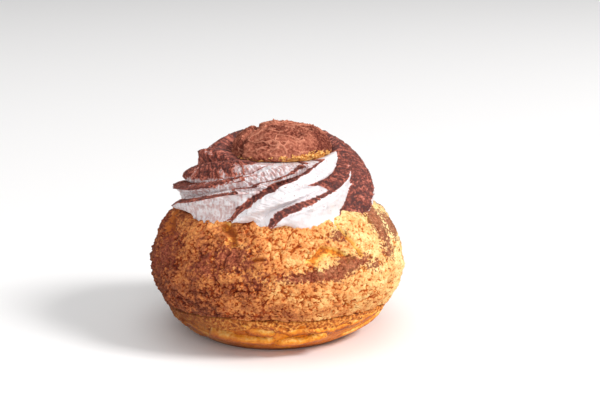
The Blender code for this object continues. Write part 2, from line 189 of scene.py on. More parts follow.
LUMPS, CRAGS, CREASES, RIM_WAVES, TEARS, CAP_LUMPS, CAP_WRINKLES, CAP_TEETH = range(1, 9)
CRACK_WANDERS = (9, 10, 11)
RIM_CRUMBLES, WRINKLES, FLAKES, PITS = range(12, 16)


def smooth_step(low, high, value):
    """0 below low, 1 above high, and an easy curve between them."""
    share = min(1.0, max(0.0, (value - low) / (high - low)))
    return share * share * (3.0 - 2.0 * share)


def around(azimuth, radius, height):
    """The point at this azimuth in degrees, radius and height."""
    turn = math.radians(azimuth)
    return Vector((radius * math.sin(turn), -radius * math.cos(turn), height))


def roughness(point, size, seed):
    """Smooth noise from -1 to 1 whose lumps are about this size, different for each seed."""
    return noise.noise(point / size + Vector((seed * 7.3, seed * 3.1, seed * 5.7)))


def ring_roughness(azimuth, turn, seed):
    """The same round the bun, in waves that each take about this many radians."""
    return roughness(around(azimuth, 1.0, 0.0), turn, seed)


def bun_radius_at(height):
    """Radius of the bun's smooth outline at this height."""
    if height > BUN_WIDEST_Z:
        share = (height - BUN_WIDEST_Z) / BUN_UPPER_HEIGHT
        return BUN_RADIUS * math.sqrt(1.0 - share**BUN_SHOULDER_POWER)
    share = (BUN_WIDEST_Z - height) / BUN_LOWER_HEIGHT
    belly = BELLY_BULGE * math.exp(-(((height - BELLY_Z) / BELLY_SPREAD) ** 2))
    return BUN_RADIUS * math.sqrt(1.0 - share**BUN_LOWER_POWER) + belly


def crust_rim(azimuth):
    """Height of the crust's wavy lower rim at this azimuth."""
    wave = RIM_WAVE * ring_roughness(azimuth, RIM_WAVE_TURN, RIM_WAVES)
    return RIM_Z + RIM_RISE * math.cos(math.radians(azimuth)) + wave


def bun_lean(height):
    """How far the bun's axis is shifted at this height, as it leans out over its base."""
    return Vector((BASE_SHIFT_X * (1.0 - smooth_step(0.0, BASE_SHIFT_HEIGHT, height)), 0.0, 0.0))


def sculpted(name, columns, rows, shape, marks):
    """A grid rolled up into a closed ball, whose corners lie where shape says for their azimuth and their row
    above the bottom pole. shape also gives the value of each mark, which a material reads as an attribute."""
    bpy.ops.mesh.primitive_grid_add(x_subdivisions=columns, y_subdivisions=rows, size=2.0, calc_uvs=False)
    piece = bpy.context.object
    piece.name = piece.data.name = name
    places = []
    values = []
    for corner in piece.data.vertices:
        column = round((corner.co.x + 1.0) / 2.0 * columns) % columns
        row = round((corner.co.y + 1.0) / 2.0 * rows)
        place, *marked = shape(360.0 * column / columns, row)
        places.append(place + PUFF_AXIS)
        values.append(marked)
    piece.data.vertices.foreach_set("co", np.array(places, np.float32).ravel())
    for mark, numbers in zip(marks, zip(*values)):
        layer = piece.data.attributes.new(mark, "FLOAT", "POINT")
        layer.data.foreach_set("value", np.array(numbers, np.float32))
    bpy.ops.object.mode_set(mode="EDIT")
    bpy.ops.mesh.select_all(action="SELECT")
    bpy.ops.mesh.remove_doubles(threshold=0.001 * MM)
    bpy.ops.object.mode_set(mode="OBJECT")
    bpy.ops.object.shade_smooth()
    return piece


def nearest_on_path(point, path):
    """The vector to the point from the nearest place on a path of straight runs."""
    nearest = None
    for start, end in zip(path, path[1:]):
        run = end - start
        share = (point - start).dot(run) / run.length_squared
        away = point - start - run * min(1.0, max(0.0, share))
        if nearest is None or away.length < nearest.length:
            nearest = away
    return nearest


def paths_on_bun(rows):
    """The rows, with each path of azimuths and heights in mm as points of the bun's outline."""
    return [([around(turn, bun_radius_at(z * MM), z * MM) for turn, z in path], *values) for path, *values in rows]


belly_folds = paths_on_bun(BELLY_FOLDS)


def belly_fold(point):
    """How far the belly's folds stand out here, in metres, how deep in the crease beside one, from 0 to 1, which is
    painted dark as shade, and how high up the roll of the nearest one, from -1 at its foot to 1 at its top, which is
    painted from shade at the foot to a highlight at the top."""
    stands, beside, up = 0.0, 0.0, 0.0
    ragged = 0.3 * roughness(point, 3.4 * MM, FLAKES)
    for path, half_width, height in belly_folds:
        away = nearest_on_path(point, path)
        near = away.length / (half_width * MM) + ragged
        if near < 2.0:
            stand = height * MM * (1.0 - min(1.0, max(0.0, near)) ** 2) ** FOLD_ROUNDING
            if stand > stands:
                stands, up = stand, away.z / (half_width * MM)
            # painted shade in the crease beside each fold
            beside = max(beside, 0.7 * math.exp(-(((near - 1.1) / 0.22) ** 2)))
    return stands, beside, up


def choux_shape(azimuth, row):
    """A corner of the choux body, with its marks: how deep in a crease, beside a fold and in the groove under the
    crust's rim, all painted dark as shade, its share of the way up to the crust's rim, how far out on a fold, how
    thickly coated with crumbs, and how high up the roll of a fold, painted from shade at its foot to a highlight at
    its top."""
    rim = crust_rim(azimuth)
    if row <= CHOUX_BASE_ROWS:
        share = row / CHOUX_BASE_ROWS
        place = around(azimuth, share * bun_radius_at(0.0), 0.0) + bun_lean(0.0)
        pit = UNDERSIDE_PIT * max(0.0, roughness(place, 3.0 * MM, PITS)) * (1.0 - smooth_step(0.8, 0.97, share))
        place.z = pit
        return place, pit / UNDERSIDE_PIT, 0.0, 0.0, 0.0, 0.0
    share = (row - CHOUX_BASE_ROWS) / CHOUX_BELLY_ROWS
    if share > 1.0:
        inside = (row - CHOUX_BASE_ROWS - CHOUX_BELLY_ROWS) / CHOUX_HIDDEN_ROWS
        height = rim + 3.0 * MM * inside
        height += (RIM_Z - height) * inside
        return around(azimuth, (1.0 - inside) * bun_radius_at(height), height), 1.0, 1.0, 0.0, 1.0, 0.0
    height = 1.12 * rim * share**1.15
    radius = bun_radius_at(height)
    smooth = around(azimuth, radius, height)
    lumps = LUMP_HEIGHT * roughness(smooth, LUMP_SIZE, LUMPS)
    wave = smooth.z + CREASE_WANDER * roughness(smooth, CREASE_WANDER_SIZE, CREASES)
    crease = 1.0 - abs(math.sin(math.pi * wave / CREASE_SPACING)) ** CREASE_SHARPNESS
    wrinkle = roughness(smooth, WRINKLE_SIZE, WRINKLES) + 0.5 * roughness(smooth, 0.45 * WRINKLE_SIZE, FLAKES)
    fold, shade_beside_fold, fold_light_share = belly_fold(smooth)
    band = FLAKY_BAND + FLAKY_BAND_RAGGED * (
        roughness(smooth, 4.0 * MM, RIM_CRUMBLES) - 0.4 * math.sin(math.radians(azimuth)) + 0.2
    )
    flaky = smooth_step(-0.7 * MM, 0.5 * MM, height - rim + band)
    relief = FLAKY_BAND_THICKNESS * flaky - CREASE_DEPTH * crease + WRINKLE_HEIGHT * wrinkle * (1.0 + flaky)
    relief = lumps * smooth_step(0.0, BASE_SMOOTHING, height) + (fold + relief) * smooth_step(0.0, 2.0 * MM, height)
    groove = smooth_step(-1.1 * MM, -0.3 * MM, height - rim)
    place = around(azimuth, radius + relief - RIM_GROOVE * groove, height) + bun_lean(height)
    # painted shade: darker in creases, beside folds and in the shadow under the crust's rim
    crease_shade = max(0.4 * crease, shade_beside_fold, 1.2 * groove)
    out = min(1.0, fold / (1.6 * MM))
    return place, crease_shade, share, out, flaky * (1.0 - 0.9 * out), fold_light_share


choux = sculpted(
    "choux_body",
    CHOUX_COLUMNS,
    CHOUX_BASE_ROWS + CHOUX_BELLY_ROWS + CHOUX_HIDDEN_ROWS,
    choux_shape,
    ("crease", "rise", "fold", "flaky", "fold_light"),
)


def attribute(tree, name):
    """The value of one of a piece's marks."""
    return add(tree, "Attribute", attribute_name=name).outputs["Fac"]


def grain(tree, size, detail=3.0, roughness_share=0.55, stretch=(1.0, 1.0, 1.0)):
    """Noise fixed to the piece, from 0 to 1, whose patches are about this size."""
    coordinates = add(tree, "TexCoord").outputs["Object"]
    scaled = add(tree, "Mapping", {"Vector": coordinates, "Scale": stretch}).outputs["Vector"]
    inputs = {"Vector": scaled, "Scale": 0.5 / size, "Detail": detail, "Roughness": roughness_share}
    return add(tree, "TexNoise", inputs).outputs["Fac"]


def spread(tree, value, low, high, at_low=0.0, at_high=1.0):
    """value carried from the range low to high to the range at_low to at_high, and held inside it."""
    inputs = {"Value": value, "From Min": low, "From Max": high, "To Min": at_low, "To Max": at_high}
    return add(tree, "MapRange", inputs, interpolation_type="SMOOTHSTEP").outputs["Result"]


def arithmetic(tree, operation, first, second):
    """One step of arithmetic on two values."""
    made = add(tree, "Math", {0: first, 1: second}, operation=operation)
    return made.outputs["Value"]


def mixed(tree, share, below, above):
    """The colour below with this share of the colour above."""
    made = add(tree, "Mix", {0: share, 6: below, 7: above}, data_type="RGBA")
    return made.outputs[2]


def shades(tree, value, *stops):
    """A colour looked up along stops of (place, colour)."""
    made = add(tree, "ValToRGB", {"Fac": value})
    made.color_ramp.elements[0].position, made.color_ramp.elements[0].color = stops[0]
    made.color_ramp.elements[1].position, made.color_ramp.elements[1].color = stops[-1]
    for place, colour in stops[1:-1]:
        made.color_ramp.elements.new(place).color = colour
    return made.outputs["Color"]


def bump(tree, height, distance, strength=1.0):
    """A normal bent by this height, where a height of 1 stands out by distance."""
    return add(tree, "Bump", {"Height": height, "Distance": distance, "Strength": strength}).outputs["Normal"]


choux_skin, tree, shader = new_material("baked_choux", Specular_IOR_Level=0.35)
patches = grain(tree, 3.4 * MM, stretch=(1.0, 1.0, 0.6))
mottle = grain(tree, 1.1 * MM)
specks = grain(tree, 0.42 * MM, detail=3.0)
tone = spread(tree, patches, 0.3, 0.7, 0.36, 0.52)
# painted light: each fold is painted darker at its foot as shade and paler at its top as a highlight
tone = arithmetic(tree, "ADD", tone, spread(tree, attribute(tree, "fold_light"), -0.8, 0.8, -0.15, 0.18))
tone = arithmetic(tree, "ADD", tone, spread(tree, specks, 0.3, 0.7, -0.05, 0.05))
golden = shades(
    tree,
    tone,
    (0.28, srgb(150, 68, 10)),
    (0.42, srgb(206, 108, 14)),
    (0.56, srgb(240, 154, 36)),
    (0.7, srgb(255, 212, 124)),
)
flaky = shades(tree, specks, (0.34, srgb(120, 56, 20)), (0.5, srgb(202, 112, 38)), (0.66, srgb(246, 180, 92)))
coated = arithmetic(tree, "ADD", attribute(tree, "flaky"), spread(tree, mottle, 0.3, 0.7, -0.5, 0.5))
coated = spread(tree, coated, 0.3, 0.7)
# painted shade in the creases, beside the folds and under the crust's rim
painted_crease_shade = arithmetic(tree, "ADD", attribute(tree, "crease"), spread(tree, specks, 0.3, 0.7, 0.2, -0.2))
painted_crease_shade = spread(tree, painted_crease_shade, 0.45, 1.0, 0.0, 0.7)
# darker towards the flat underside
foot = spread(tree, attribute(tree, "rise"), 0.02, 0.16, 0.85, 0.0)
rightwards = add(tree, "SeparateXYZ", {"Vector": add(tree, "TexCoord").outputs["Object"]}).outputs["X"]
colour = mixed(tree, coated, golden, flaky)
colour = mixed(tree, painted_crease_shade, colour, srgb(112, 50, 20))
colour = mixed(tree, foot, colour, srgb(112, 50, 12))
# darker towards the left, away from the window: painted shade, with some real browning
colour = mixed(tree, spread(tree, rightwards, -30.0 * MM, 4.0 * MM, 0.8, 0.0), colour, srgb(104, 48, 20))
tree.links.new(colour, shader.inputs["Base Color"])
tree.links.new(spread(tree, coated, 0.0, 1.0, 0.45, 0.85), shader.inputs["Roughness"])
tree.links.new(bump(tree, specks, 0.25 * MM), shader.inputs["Normal"])
choux.data.materials.append(choux_skin)
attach(choux, "root")
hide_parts("choux_bun")


# ---------------------------------------------------------------- the biscuit crust
# A disc of sugar, butter and flour dough melted over the choux as it baked. It cracked into flakes, crumbled
# into grains and split where the bun rose fastest, and the cocoa sieved over the puff lies on it in drifts.
# Made from a second ball, from a lip under the rim up to the flat cut where the top was sliced off.

BUN_CUT_Z = 43.4 * MM
CUT_SMOOTHING = 5.5 * MM
CRUST_THICKNESS = 1.1 * MM
RIM_THICKNESS = 0.7 * MM
RIM_TAPER = 3.0 * MM
PLATE_SIZE = 7.5 * MM
PLATE_CRACK_DEPTH = 0.45 * MM
PLATE_CRACK_REACH = 0.2
PLATE_CRACK_WANDER = 0.25
SHARP_CRACK_DEPTH = 0.5 * MM
SHARP_CRACK_REACH = 0.05
CRAG_SIZE = 5.5 * MM
CRAG_HEIGHT = 0.7 * MM
FLAKE_SIZE = 2.1 * MM
FLAKE_HEIGHT = 0.5 * MM
GRAIN_SIZE = 1.15 * MM
GRAIN_HEIGHT = 0.42 * MM
CHINK_SIZES = (2.3 * MM, 1.3 * MM)  # the short fine cracks
CHINK_DEPTH = 0.42 * MM
CHINK_REACH = 0.1
PIT_SPACING = 2.3 * MM
PIT_REACH = 0.2
PIT_DEPTH = 0.6 * MM
LIP_DEPTH = 1.7 * MM
CRUST_COLUMNS = 720
CRUST_ROWS = 122
LIP_ROWS = 6
HIDDEN_ROWS = 2
SPLIT_FLOOR = 0.25
# Each split: azimuths and heights in mm along it, its half width and depth in mm, and how many times wider it
# opens below that line, where the bare choux slopes out again.
CRUST_SPLITS = (
    (((33.5, 43), (35, 38.6), (38, 35), (41.5, 30.7)), 1.0, 1.6, 1.0),
    (((17, 31.6), (22, 34.2), (28, 33.4), (33, 31.4)), 1.0, 1.5, 2.8),
    (((-29, 39.5), (-23, 37.4), (-22, 35.6)), 1.6, 1.5, 1.5),
    (((58, 43), (60, 40), (60, 37.6)), 0.9, 1.3, 1.0),
    (((-78, 37.5), (-66, 34)), 3.6, 1.7, 1.0),
    (((-10, 31.5), (-6, 31.8)), 0.8, 0.8, 1.0),
    (((118, 41), (128, 34), (124, 28)), 1.3, 1.6, 1.4),
    (((168, 42), (176, 36), (188, 32)), 1.2, 1.5, 2.4),
    (((-140, 40), (-128, 35), (-112, 33)), 1.2, 1.5, 2.0),
)
# Drifts of cocoa: azimuth and height in mm of the middle, then how far it reaches in mm along and up, and how
# thick it lies.
COCOA_DRIFTS = (
    (-20, 31.5, 6.5, 3.6, 1.2),
    (-31, 28.0, 6.0, 3.5, 0.9),
    (-9, 26.0, 6.0, 3.0, 0.7),
    (9, 26.8, 5.5, 1.6, 1.15),
    (18, 27.0, 5.0, 1.7, 1.5),
    (26, 27.4, 5.0, 1.9, 1.7),
    (34, 29.3, 4.0, 2.2, 1.7),
    (41, 29.3, 4.0, 1.5, 1.1),
    (48, 27.4, 5.0, 1.4, 0.9),
    (32, 36.6, 3.2, 1.6, 1.1),
    (68, 38.8, 4.0, 4.0, 1.6),
    (64, 34.0, 3.6, 4.5, 1.2),
    (62, 30.0, 4.5, 3.0, 0.9),
    (82, 34.0, 6.0, 5.0, 1.2),
    (-62, 30.0, 7.5, 7.0, 0.95),
    (-74, 25.0, 7.0, 5.0, 0.8),
    (-95, 33.0, 10.0, 6.0, 0.8),
    (-130, 29.0, 9.0, 4.0, 0.9),
    (165, 34.0, 8.0, 5.0, 0.9),
    (135, 30.0, 7.0, 3.5, 0.8),
    (108, 36.0, 7.0, 4.0, 0.9),
    (-165, 26.0, 7.0, 3.5, 0.7),
)


crust_splits = paths_on_bun(CRUST_SPLITS)
drift_places = [
    (around(azimuth, bun_radius_at(z * MM), z * MM), around(azimuth + 90.0, 1.0, 0.0), along * MM, up * MM, thick)
    for azimuth, z, along, up, thick in COCOA_DRIFTS
]


def split_share(point):
    """How deep the splits are here, in metres, and how far into one the point lies, from 0 to 1."""
    depth, share = 0.0, 0.0
    ragged = 0.4 * roughness(point, 1.4 * MM, FLAKES)
    for path, half_width, deepest, apron in crust_splits:
        away = nearest_on_path(point, path)
        near = away.length / (half_width * MM * (apron if away.z < 0.0 else 1.0)) + ragged
        depth = max(depth, deepest * MM * (1.0 - smooth_step(SPLIT_FLOOR, 1.0, near)))
        share = max(share, 1.0 - smooth_step(0.1, 1.0, near))
    return depth, share


def cocoa_drift(point):
    """How thick the cocoa lies on the crust here, from 0 to about 1."""
    cocoa = 0.0
    for middle, along, reach, up, thick in drift_places:
        away = point - middle
        if away.length < 3.0 * reach:
            near = (away.dot(along) / reach) ** 2 + (away.z / up) ** 2
            cocoa = max(cocoa, thick * math.exp(-near))
    return cocoa


def brown_bake_and_side_light(point, rim):
    """How brown the crust is here, from 0, pale, to 1: browner low down, and browner on the left and paler on the
    right, which is partly painted shade and light from the window at the right.
    """
    up = (point.z - rim) / (BUN_CUT_Z - rim)
    right = point.x / BUN_RADIUS
    return 0.64 - 0.24 * up - 0.38 * right + 0.16 * roughness(point, 8.0 * MM, CREASES)


def cells(point, size, wander):
    """Rounded cells of about this size: how near the middle of its cell the point lies, from 1 down to 0 at the
    cell's edge, how deep in the crevice between two cells, and a number from -1 to 1 for the cell itself."""
    stray = Vector(roughness(point, 0.8 * size, seed) for seed in CRACK_WANDERS)
    distances, middles = noise.voronoi(point / size + wander * stray)
    dome = max(0.0, 1.0 - (distances[0] / 0.8) ** 2)
    crevice = 1.0 - smooth_step(0.0, 0.16, distances[1] - distances[0])
    return dome, crevice, 1.6 * noise.noise(3.7 * middles[0])


def chinks(point):
    """How deep in one of the short fine cracks the point lies, from 0 to 1."""
    deepest = 0.0
    for size in CHINK_SIZES:
        line = 1.0 - abs(roughness(point, size, WRINKLES)) / CHINK_REACH
        if line > 0.0:
            deepest = max(deepest, min(1.0, 1.6 * line) * smooth_step(-0.1, 0.2, roughness(point, 1.5 * size, PITS)))
    return deepest


def crust_relief(point, brown):
    """How far the crust stands out here, with its marks: how deep in a crevice, which is painted dark as shade, in a
    split, and its tone, which is paler on the tops of grains and flakes as a painted highlight.
    """
    lumps = LUMP_HEIGHT * roughness(point, LUMP_SIZE, LUMPS)
    crags = CRAG_HEIGHT * roughness(point, CRAG_SIZE, CRAGS)
    wander = Vector(roughness(point, CRAG_SIZE, seed) for seed in CRACK_WANDERS)
    distances, _ = noise.voronoi(point / PLATE_SIZE + PLATE_CRACK_WANDER * wander)
    plates = distances[1] - distances[0]
    opened = smooth_step(0.0, 0.35, roughness(point, 7.0 * MM, TEARS))  # most cracks stayed shut
    plate_crack = 1.0 - smooth_step(0.0, PLATE_CRACK_REACH, plates)
    sharp_crack = opened * (1.0 - smooth_step(0.0, SHARP_CRACK_REACH, plates))
    split, in_split = split_share(point)

    flake, seam, flake_tone = cells(point, FLAKE_SIZE, 0.6)
    seam *= smooth_step(-0.35, 0.15, roughness(point, 3.0 * MM, PITS))
    grain_dome, grain_edge, grain_tone = cells(point, GRAIN_SIZE, 0.35)
    chink = chinks(point)
    distances, middles = noise.voronoi(point / PIT_SPACING + Vector((3.3, 1.7, 5.1)))
    pit = (1.0 - smooth_step(0.4 * PIT_REACH, PIT_REACH, distances[0])) * (noise.noise(2.9 * middles[0]) > -0.05)
    crumbled = FLAKE_HEIGHT * (0.5 * flake_tone + 0.7 * flake - 0.6 * seam)
    crumbled += GRAIN_HEIGHT * (0.5 * grain_tone + 0.6 * grain_dome - 0.5 * grain_edge)
    crumbled = crumbled * (0.5 + 0.7 * brown) - CHINK_DEPTH * chink - PIT_DEPTH * pit
    crack = max(PLATE_CRACK_DEPTH * plate_crack + SHARP_CRACK_DEPTH * sharp_crack, split)
    # painted shade: seams, grain edges, cracks, chinks and pits are darkened by how deep they lie
    depth = 0.6 * seam + 0.35 * grain_edge + 0.8 * sharp_crack + 0.8 * chink + 0.8 * pit
    depth = (1.0 - in_split) * min(1.0, depth) * (0.55 + 0.45 * brown)
    # painted highlight: paler on the tops of grains and flakes; the rest is each cell's own tone
    tone = 0.1 * flake_tone + 0.1 * grain_tone - brown * (0.16 * (grain_dome - 0.4) + 0.14 * (flake - 0.5))
    return CRUST_THICKNESS + lumps + crags - crack + (1.0 - in_split) * crumbled, depth, in_split, tone


def crust_shape(azimuth, row):
    """A corner of the crust, with its marks: crevice, painted dark as shade, split, cocoa, height over the rim in
    mm, and browning, which carries painted side light and painted highlights on the tops of grains.
    """
    rim = crust_rim(azimuth) + RIM_CRUMBLE * ring_roughness(azimuth, RIM_CRUMBLE_TURN, RIM_CRUMBLES)
    if row < HIDDEN_ROWS:
        inside = row / HIDDEN_ROWS
        height = RIM_Z + (rim - RIM_Z) * inside + 2.0 * MM
        return around(azimuth, inside * (bun_radius_at(height) - LIP_DEPTH), height), 0.0, 0.0, 0.0, 0.0, 1.0
    last = HIDDEN_ROWS + LIP_ROWS + CRUST_ROWS
    if row > last:
        share = 1.0 - (row - last) / HIDDEN_ROWS
        return around(azimuth, share * bun_radius_at(BUN_CUT_Z), BUN_CUT_Z), 0.0, 0.0, 0.0, 99.0, 0.0
    climb = max(0.0, (row - HIDDEN_ROWS - LIP_ROWS) / CRUST_ROWS)
    height = rim + (BUN_CUT_Z - rim) * climb
    radius = bun_radius_at(height)
    smooth = around(azimuth, radius, height)
    brown = brown_bake_and_side_light(smooth, rim)
    relief, depth, in_split, tone = crust_relief(smooth, min(1.0, max(0.0, brown)))
    relief -= (CRUST_THICKNESS - RIM_THICKNESS) * (1.0 - smooth_step(0.0, RIM_TAPER, height - rim))
    relief += (0.3 * CRUST_THICKNESS - relief) * smooth_step(BUN_CUT_Z - CUT_SMOOTHING, BUN_CUT_Z, height)
    lip = (row - HIDDEN_ROWS) / LIP_ROWS
    if lip < 1.0:  # the lip curls in under the rim
        turn = 0.5 * math.pi * (1.0 - lip)
        relief -= LIP_DEPTH * (1.0 - math.cos(turn))
        height += 1.2 * MM * (1.0 - lip) ** 2 - 0.5 * MM * math.sin(math.pi * lip)
        # the underside of the lip is painted dark as shade
        depth = max(depth, 0.9 * (1.0 - lip))
    slope = max(0.0, height - BUN_WIDEST_Z) / BUN_UPPER_HEIGHT
    place = around(azimuth, radius + relief * math.sqrt(1.0 - slope * slope), height + relief * slope)
    return place + bun_lean(height), depth, in_split, cocoa_drift(smooth), (height - rim) / MM, brown + tone


crust = sculpted(
    "biscuit_crust",
    CRUST_COLUMNS,
    2 * HIDDEN_ROWS + LIP_ROWS + CRUST_ROWS,
    crust_shape,
    ("depth", "split", "cocoa", "rise", "brown"),
)

crust_bake, tree, shader = new_material("baked_biscuit", Roughness=0.85, Specular_IOR_Level=0.25)
mottle = grain(tree, 1.3 * MM)
specks = grain(tree, 0.42 * MM, detail=3.0)
crumbs = add(tree, "TexCoord").outputs["Object"]
crumbs = add(tree, "TexVoronoi", {"Vector": crumbs, "Scale": 1.0 / (0.6 * MM)})
crumbs = arithmetic(tree, "ADD", crumbs.outputs["Distance"], spread(tree, specks, 0.3, 0.7, -0.18, 0.18))
# brown carries painted side light: paler on the lit right, darker on the shaded left
brown = arithmetic(tree, "ADD", attribute(tree, "brown"), spread(tree, mottle, 0.3, 0.7, -0.06, 0.06))
brown = arithmetic(tree, "ADD", brown, spread(tree, crumbs, 0.1, 0.8, -0.05, 0.07))
baked = shades(
    tree,
    brown,
    (0.05, srgb(252, 226, 164)),
    (0.28, srgb(243, 194, 124)),
    (0.52, srgb(226, 146, 80)),
    (0.8, srgb(168, 94, 54)),
    (0.95, srgb(118, 62, 40)),
)
# painted shade: darker in crevices and round the edges of the crumbs
depth = arithmetic(tree, "ADD", attribute(tree, "depth"), spread(tree, crumbs, 0.5, 0.9, -0.1, 0.2))
crevice_shade = shades(
    tree,
    depth,
    (0.2, (1.0, 1.0, 1.0, 1.0)),
    (0.5, srgb(218, 160, 106)),
    (0.95, srgb(136, 72, 34)),
)
colour = add(tree, "Mix", {0: 1.0, 6: baked, 7: crevice_shade}, data_type="RGBA", blend_type="MULTIPLY").outputs[2]
# The bare choux in the splits: darker and more orange deep inside as painted shade.
slope = shades(tree, brown, (0.12, srgb(255, 228, 144)), (0.34, srgb(250, 200, 102)), (0.6, srgb(184, 102, 44)))
split_floor_shade = shades(tree, brown, (0.12, srgb(238, 156, 48)), (0.34, srgb(222, 130, 38)), (0.6, srgb(148, 72, 26)))
bare = mixed(tree, spread(tree, attribute(tree, "split"), 0.5, 1.0), slope, split_floor_shade)
colour = mixed(tree, spread(tree, attribute(tree, "split"), 0.05, 0.35), colour, bare)
powder = arithmetic(tree, "ADD", attribute(tree, "cocoa"), spread(tree, specks, 0.3, 0.7, -0.45, 0.45))
powder = arithmetic(tree, "ADD", powder, spread(tree, mottle, 0.3, 0.7, -0.18, 0.18))
cocoa_tone = shades(tree, specks, (0.35, srgb(192, 108, 80)), (0.5, srgb(150, 70, 50)), (0.68, srgb(104, 42, 30)))
# painted shade: the cocoa is darker in crevices
cocoa_tone = mixed(tree, spread(tree, attribute(tree, "depth"), 0.2, 0.8, 0.0, 0.6), cocoa_tone, srgb(82, 34, 24))
colour = mixed(tree, spread(tree, powder, 0.32, 0.75, 0.0, 0.85), colour, cocoa_tone)
tree.links.new(colour, shader.inputs["Base Color"])
tree.links.new(bump(tree, crumbs, -0.2 * MM), shader.inputs["Normal"])
crust.data.materials.append(crust_bake)
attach(crust, "root")
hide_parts("choux_bun")


# ---------------------------------------------------------------- the whipped cream
# Whipped cream piped from a star nozzle in one turning heap: eight ridges climb and lean over to the right,
# each with a long white riser below its crest and a short ledge above it, where the cocoa caught.
# Made from a third ball, from a root in the bun up to the seat under the cap.

CREAM_RADIUS = 28.0 * MM
CREAM_FOOT_Z = 41.0 * MM
CREAM_RISE = 26.0 * MM
CREAM_RIM_TURN = 50.0
CREAM_FOOT_X = -1.6 * MM
CREAM_RIM_X = 0.9 * MM
FRONT_DIP = 0.27
FOOT_TUCK = 0.6 * MM
FOOT_SUNK = -0.3 * MM
FOOT_CLIMB = 0.2
# For each ridge: its azimuth at the foot, the azimuth that it seems to start from once it turns at full pace,
# the share of the climb over which it swings across, how far it stands out in mm, and how many degrees wide
# the ledge above it is at the foot and at the rim.
RIDGES = (
    (-155, -108, 0.45, 4.9, 7, 8),
    (-90, -85, 0.3, 5.0, 4, 6),
    (-30, -68, 0.7, 3.9, 5, 6),
    (-4, -15, 0.25, 4.2, 6, 20),
    (58, 26, 0.6, 4.4, 15, 30),
    (104, 110, 0.4, 4.2, 8, 12),
    (150, 177, 0.4, 3.9, 8, 12),
    (190, 212, 0.4, 3.9, 8, 12),
)
RIDGE_TURN = 118.0
RIDGE_PACE = 1.88
RIDGE_SLOW_START = 0.07
LEDGE_SHARE = 0.6
RISER_POWER = 1.3
CREST_DROOP = 0.9 * MM
LIFT_START = 0.3
LIFT_END = 0.9
LIFT_INWARD = 0.3
LIFT_UPWARD = 0.5
RIM_THINNING = 0.6
LOBE_CLIMB = 0.16
LOBE_ROUNDING = 0.6
# The lobes that the cream spread into where it landed: azimuth from and to, and how far each stands out in mm.
LOBES = (
    (-60, -26, 2.9),
    (-20, -11, 1.2),
    (-11, 7, 2.6),
    (7, 50, 5.0),
    (50, 76, 3.6),
    (76, 112, 2.8),
    (112, 140, 2.4),
    (140, 183, 2.9),
    (183, 215, 2.5),
    (215, 254, 2.9),
    (254, 284, 2.3),
)
TEAR_SIZE = 4.5 * MM
TEAR_DEPTH = 0.16
FOLD_RIDGE = 2  # its riser bulges, steps in to a short ledge, and bulges again as a lobe under the cap
FOLD_HEIGHT = 1.3 * MM
FOLD_BULGE = (0.42, 0.07)  # the climb in the middle of each, and how far it reaches
FOLD_LEDGE = (0.55, 0.06)
FOLD_LOBE = (0.76, 0.12)
FOLD_START = 0.2
FULL_RIDGE = 6  # this ridge stays full under the cap
FULL_HEIGHT = 2.2 * MM
FULL_CLIMB = (0.86, 0.16)
COMB_SPACING = 0.55 * MM  # the fine lines that the cream tore into, straight across its ridges
COMB_DEPTH = 0.5 * MM
COMB_LENGTH = 7.0 * MM
COMB_SLANT = 0.85
FROTH_SIZE = 1.6 * MM
FROTH_HEIGHT = 0.3 * MM
FRAY_SIZE = 1.2 * MM  # the frayed edges of the crests
FRAY_HEIGHT = 0.5 * MM
SWING_SIZE = 3.2 * MM
SWING_CHANGE = (0.4, 0.55)  # the climb over which the swings grow
# For each ridge: how many degrees its torn crest swings to and fro, low down and high up; how strongly the comb
# lines mark its riser; and how much painted shade darkens that riser, most in its comb grooves.
FINISH = (
    (2.0, 6.0, 1.0, 0.9),
    (1.5, 10.0, 1.0, 0.75),
    (1.0, 3.0, 0.5, 0.15),
    (1.0, 2.0, 0.5, 0.1),
    (1.5, 2.0, 0.55, 0.3),
    (2.0, 3.0, 0.6, 0.5),
    (3.0, 5.0, 1.0, 0.9),
    (3.0, 5.0, 1.0, 0.9),
)
# The cocoa along each crest: at each share of the climb, how far in mm it reaches up the ledge from the crest and
# down the riser. Where the second is below 0, the crest is bare and the cocoa starts that far above it.
COCOA_BANDS = (
    ((0.0, 6.0, 0.5), (0.33, 6.0, 0.9), (0.45, 4.0, 3.5), (0.62, 2.0, 2.4), (0.72, 2.0, 1.0), (0.82, 4.4, -3.0)),
    ((0.0, 0.7, 0.4), (0.5, 0.8, 0.5), (1.0, 1.2, 0.8)),
    ((0.1, 1.7, -0.6), (0.25, 4.0, -1.3), (0.4, 4.1, -1.3), (0.55, 3.4, -0.6), (0.73, 4.6, 0.2), (0.9, 1.0, 0.5)),
    ((0.1, 1.4, 0.1), (0.19, 2.4, -0.2), (0.35, 4.0, -1.3), (0.46, 2.7, -1.4), (0.58, 2.2, 0.9), (0.64, 1.4, 0.6),
     (0.8, 1.0, 0.4), (0.86, 1.0, 9.0), (0.95, 1.0, 20.0)),
    ((0.0, 10.9, 0.4), (0.28, 9.9, 0.5), (0.46, 9.0, 0.8), (0.6, 13.0, 3.0), (0.69, 17.0, 8.0), (0.85, 20.0, 20.0)),
    ((0.0, 8.0, 0.6), (0.4, 10.0, 1.0), (0.6, 14.0, 5.0), (0.8, 20.0, 18.0), (0.95, 20.0, 30.0)),
    ((0.0, 8.0, 0.8), (0.3, 8.0, 3.0), (0.5, 8.0, 9.0), (0.75, 12.0, 14.0)),
    ((0.0, 8.0, 0.8), (0.25, 8.0, 3.0), (0.45, 8.0, 12.0), (0.6, 8.0, 15.0), (0.8, 8.0, 13.0), (0.92, 8.0, 5.0)),
)
SECOND_SCALLOPS = (0.7, 0.13)  # the climb round which riser 0 carries a second torn line, and its reach
PATCH_SIZE = 2.6 * MM  # the thin patches in the cocoa high up
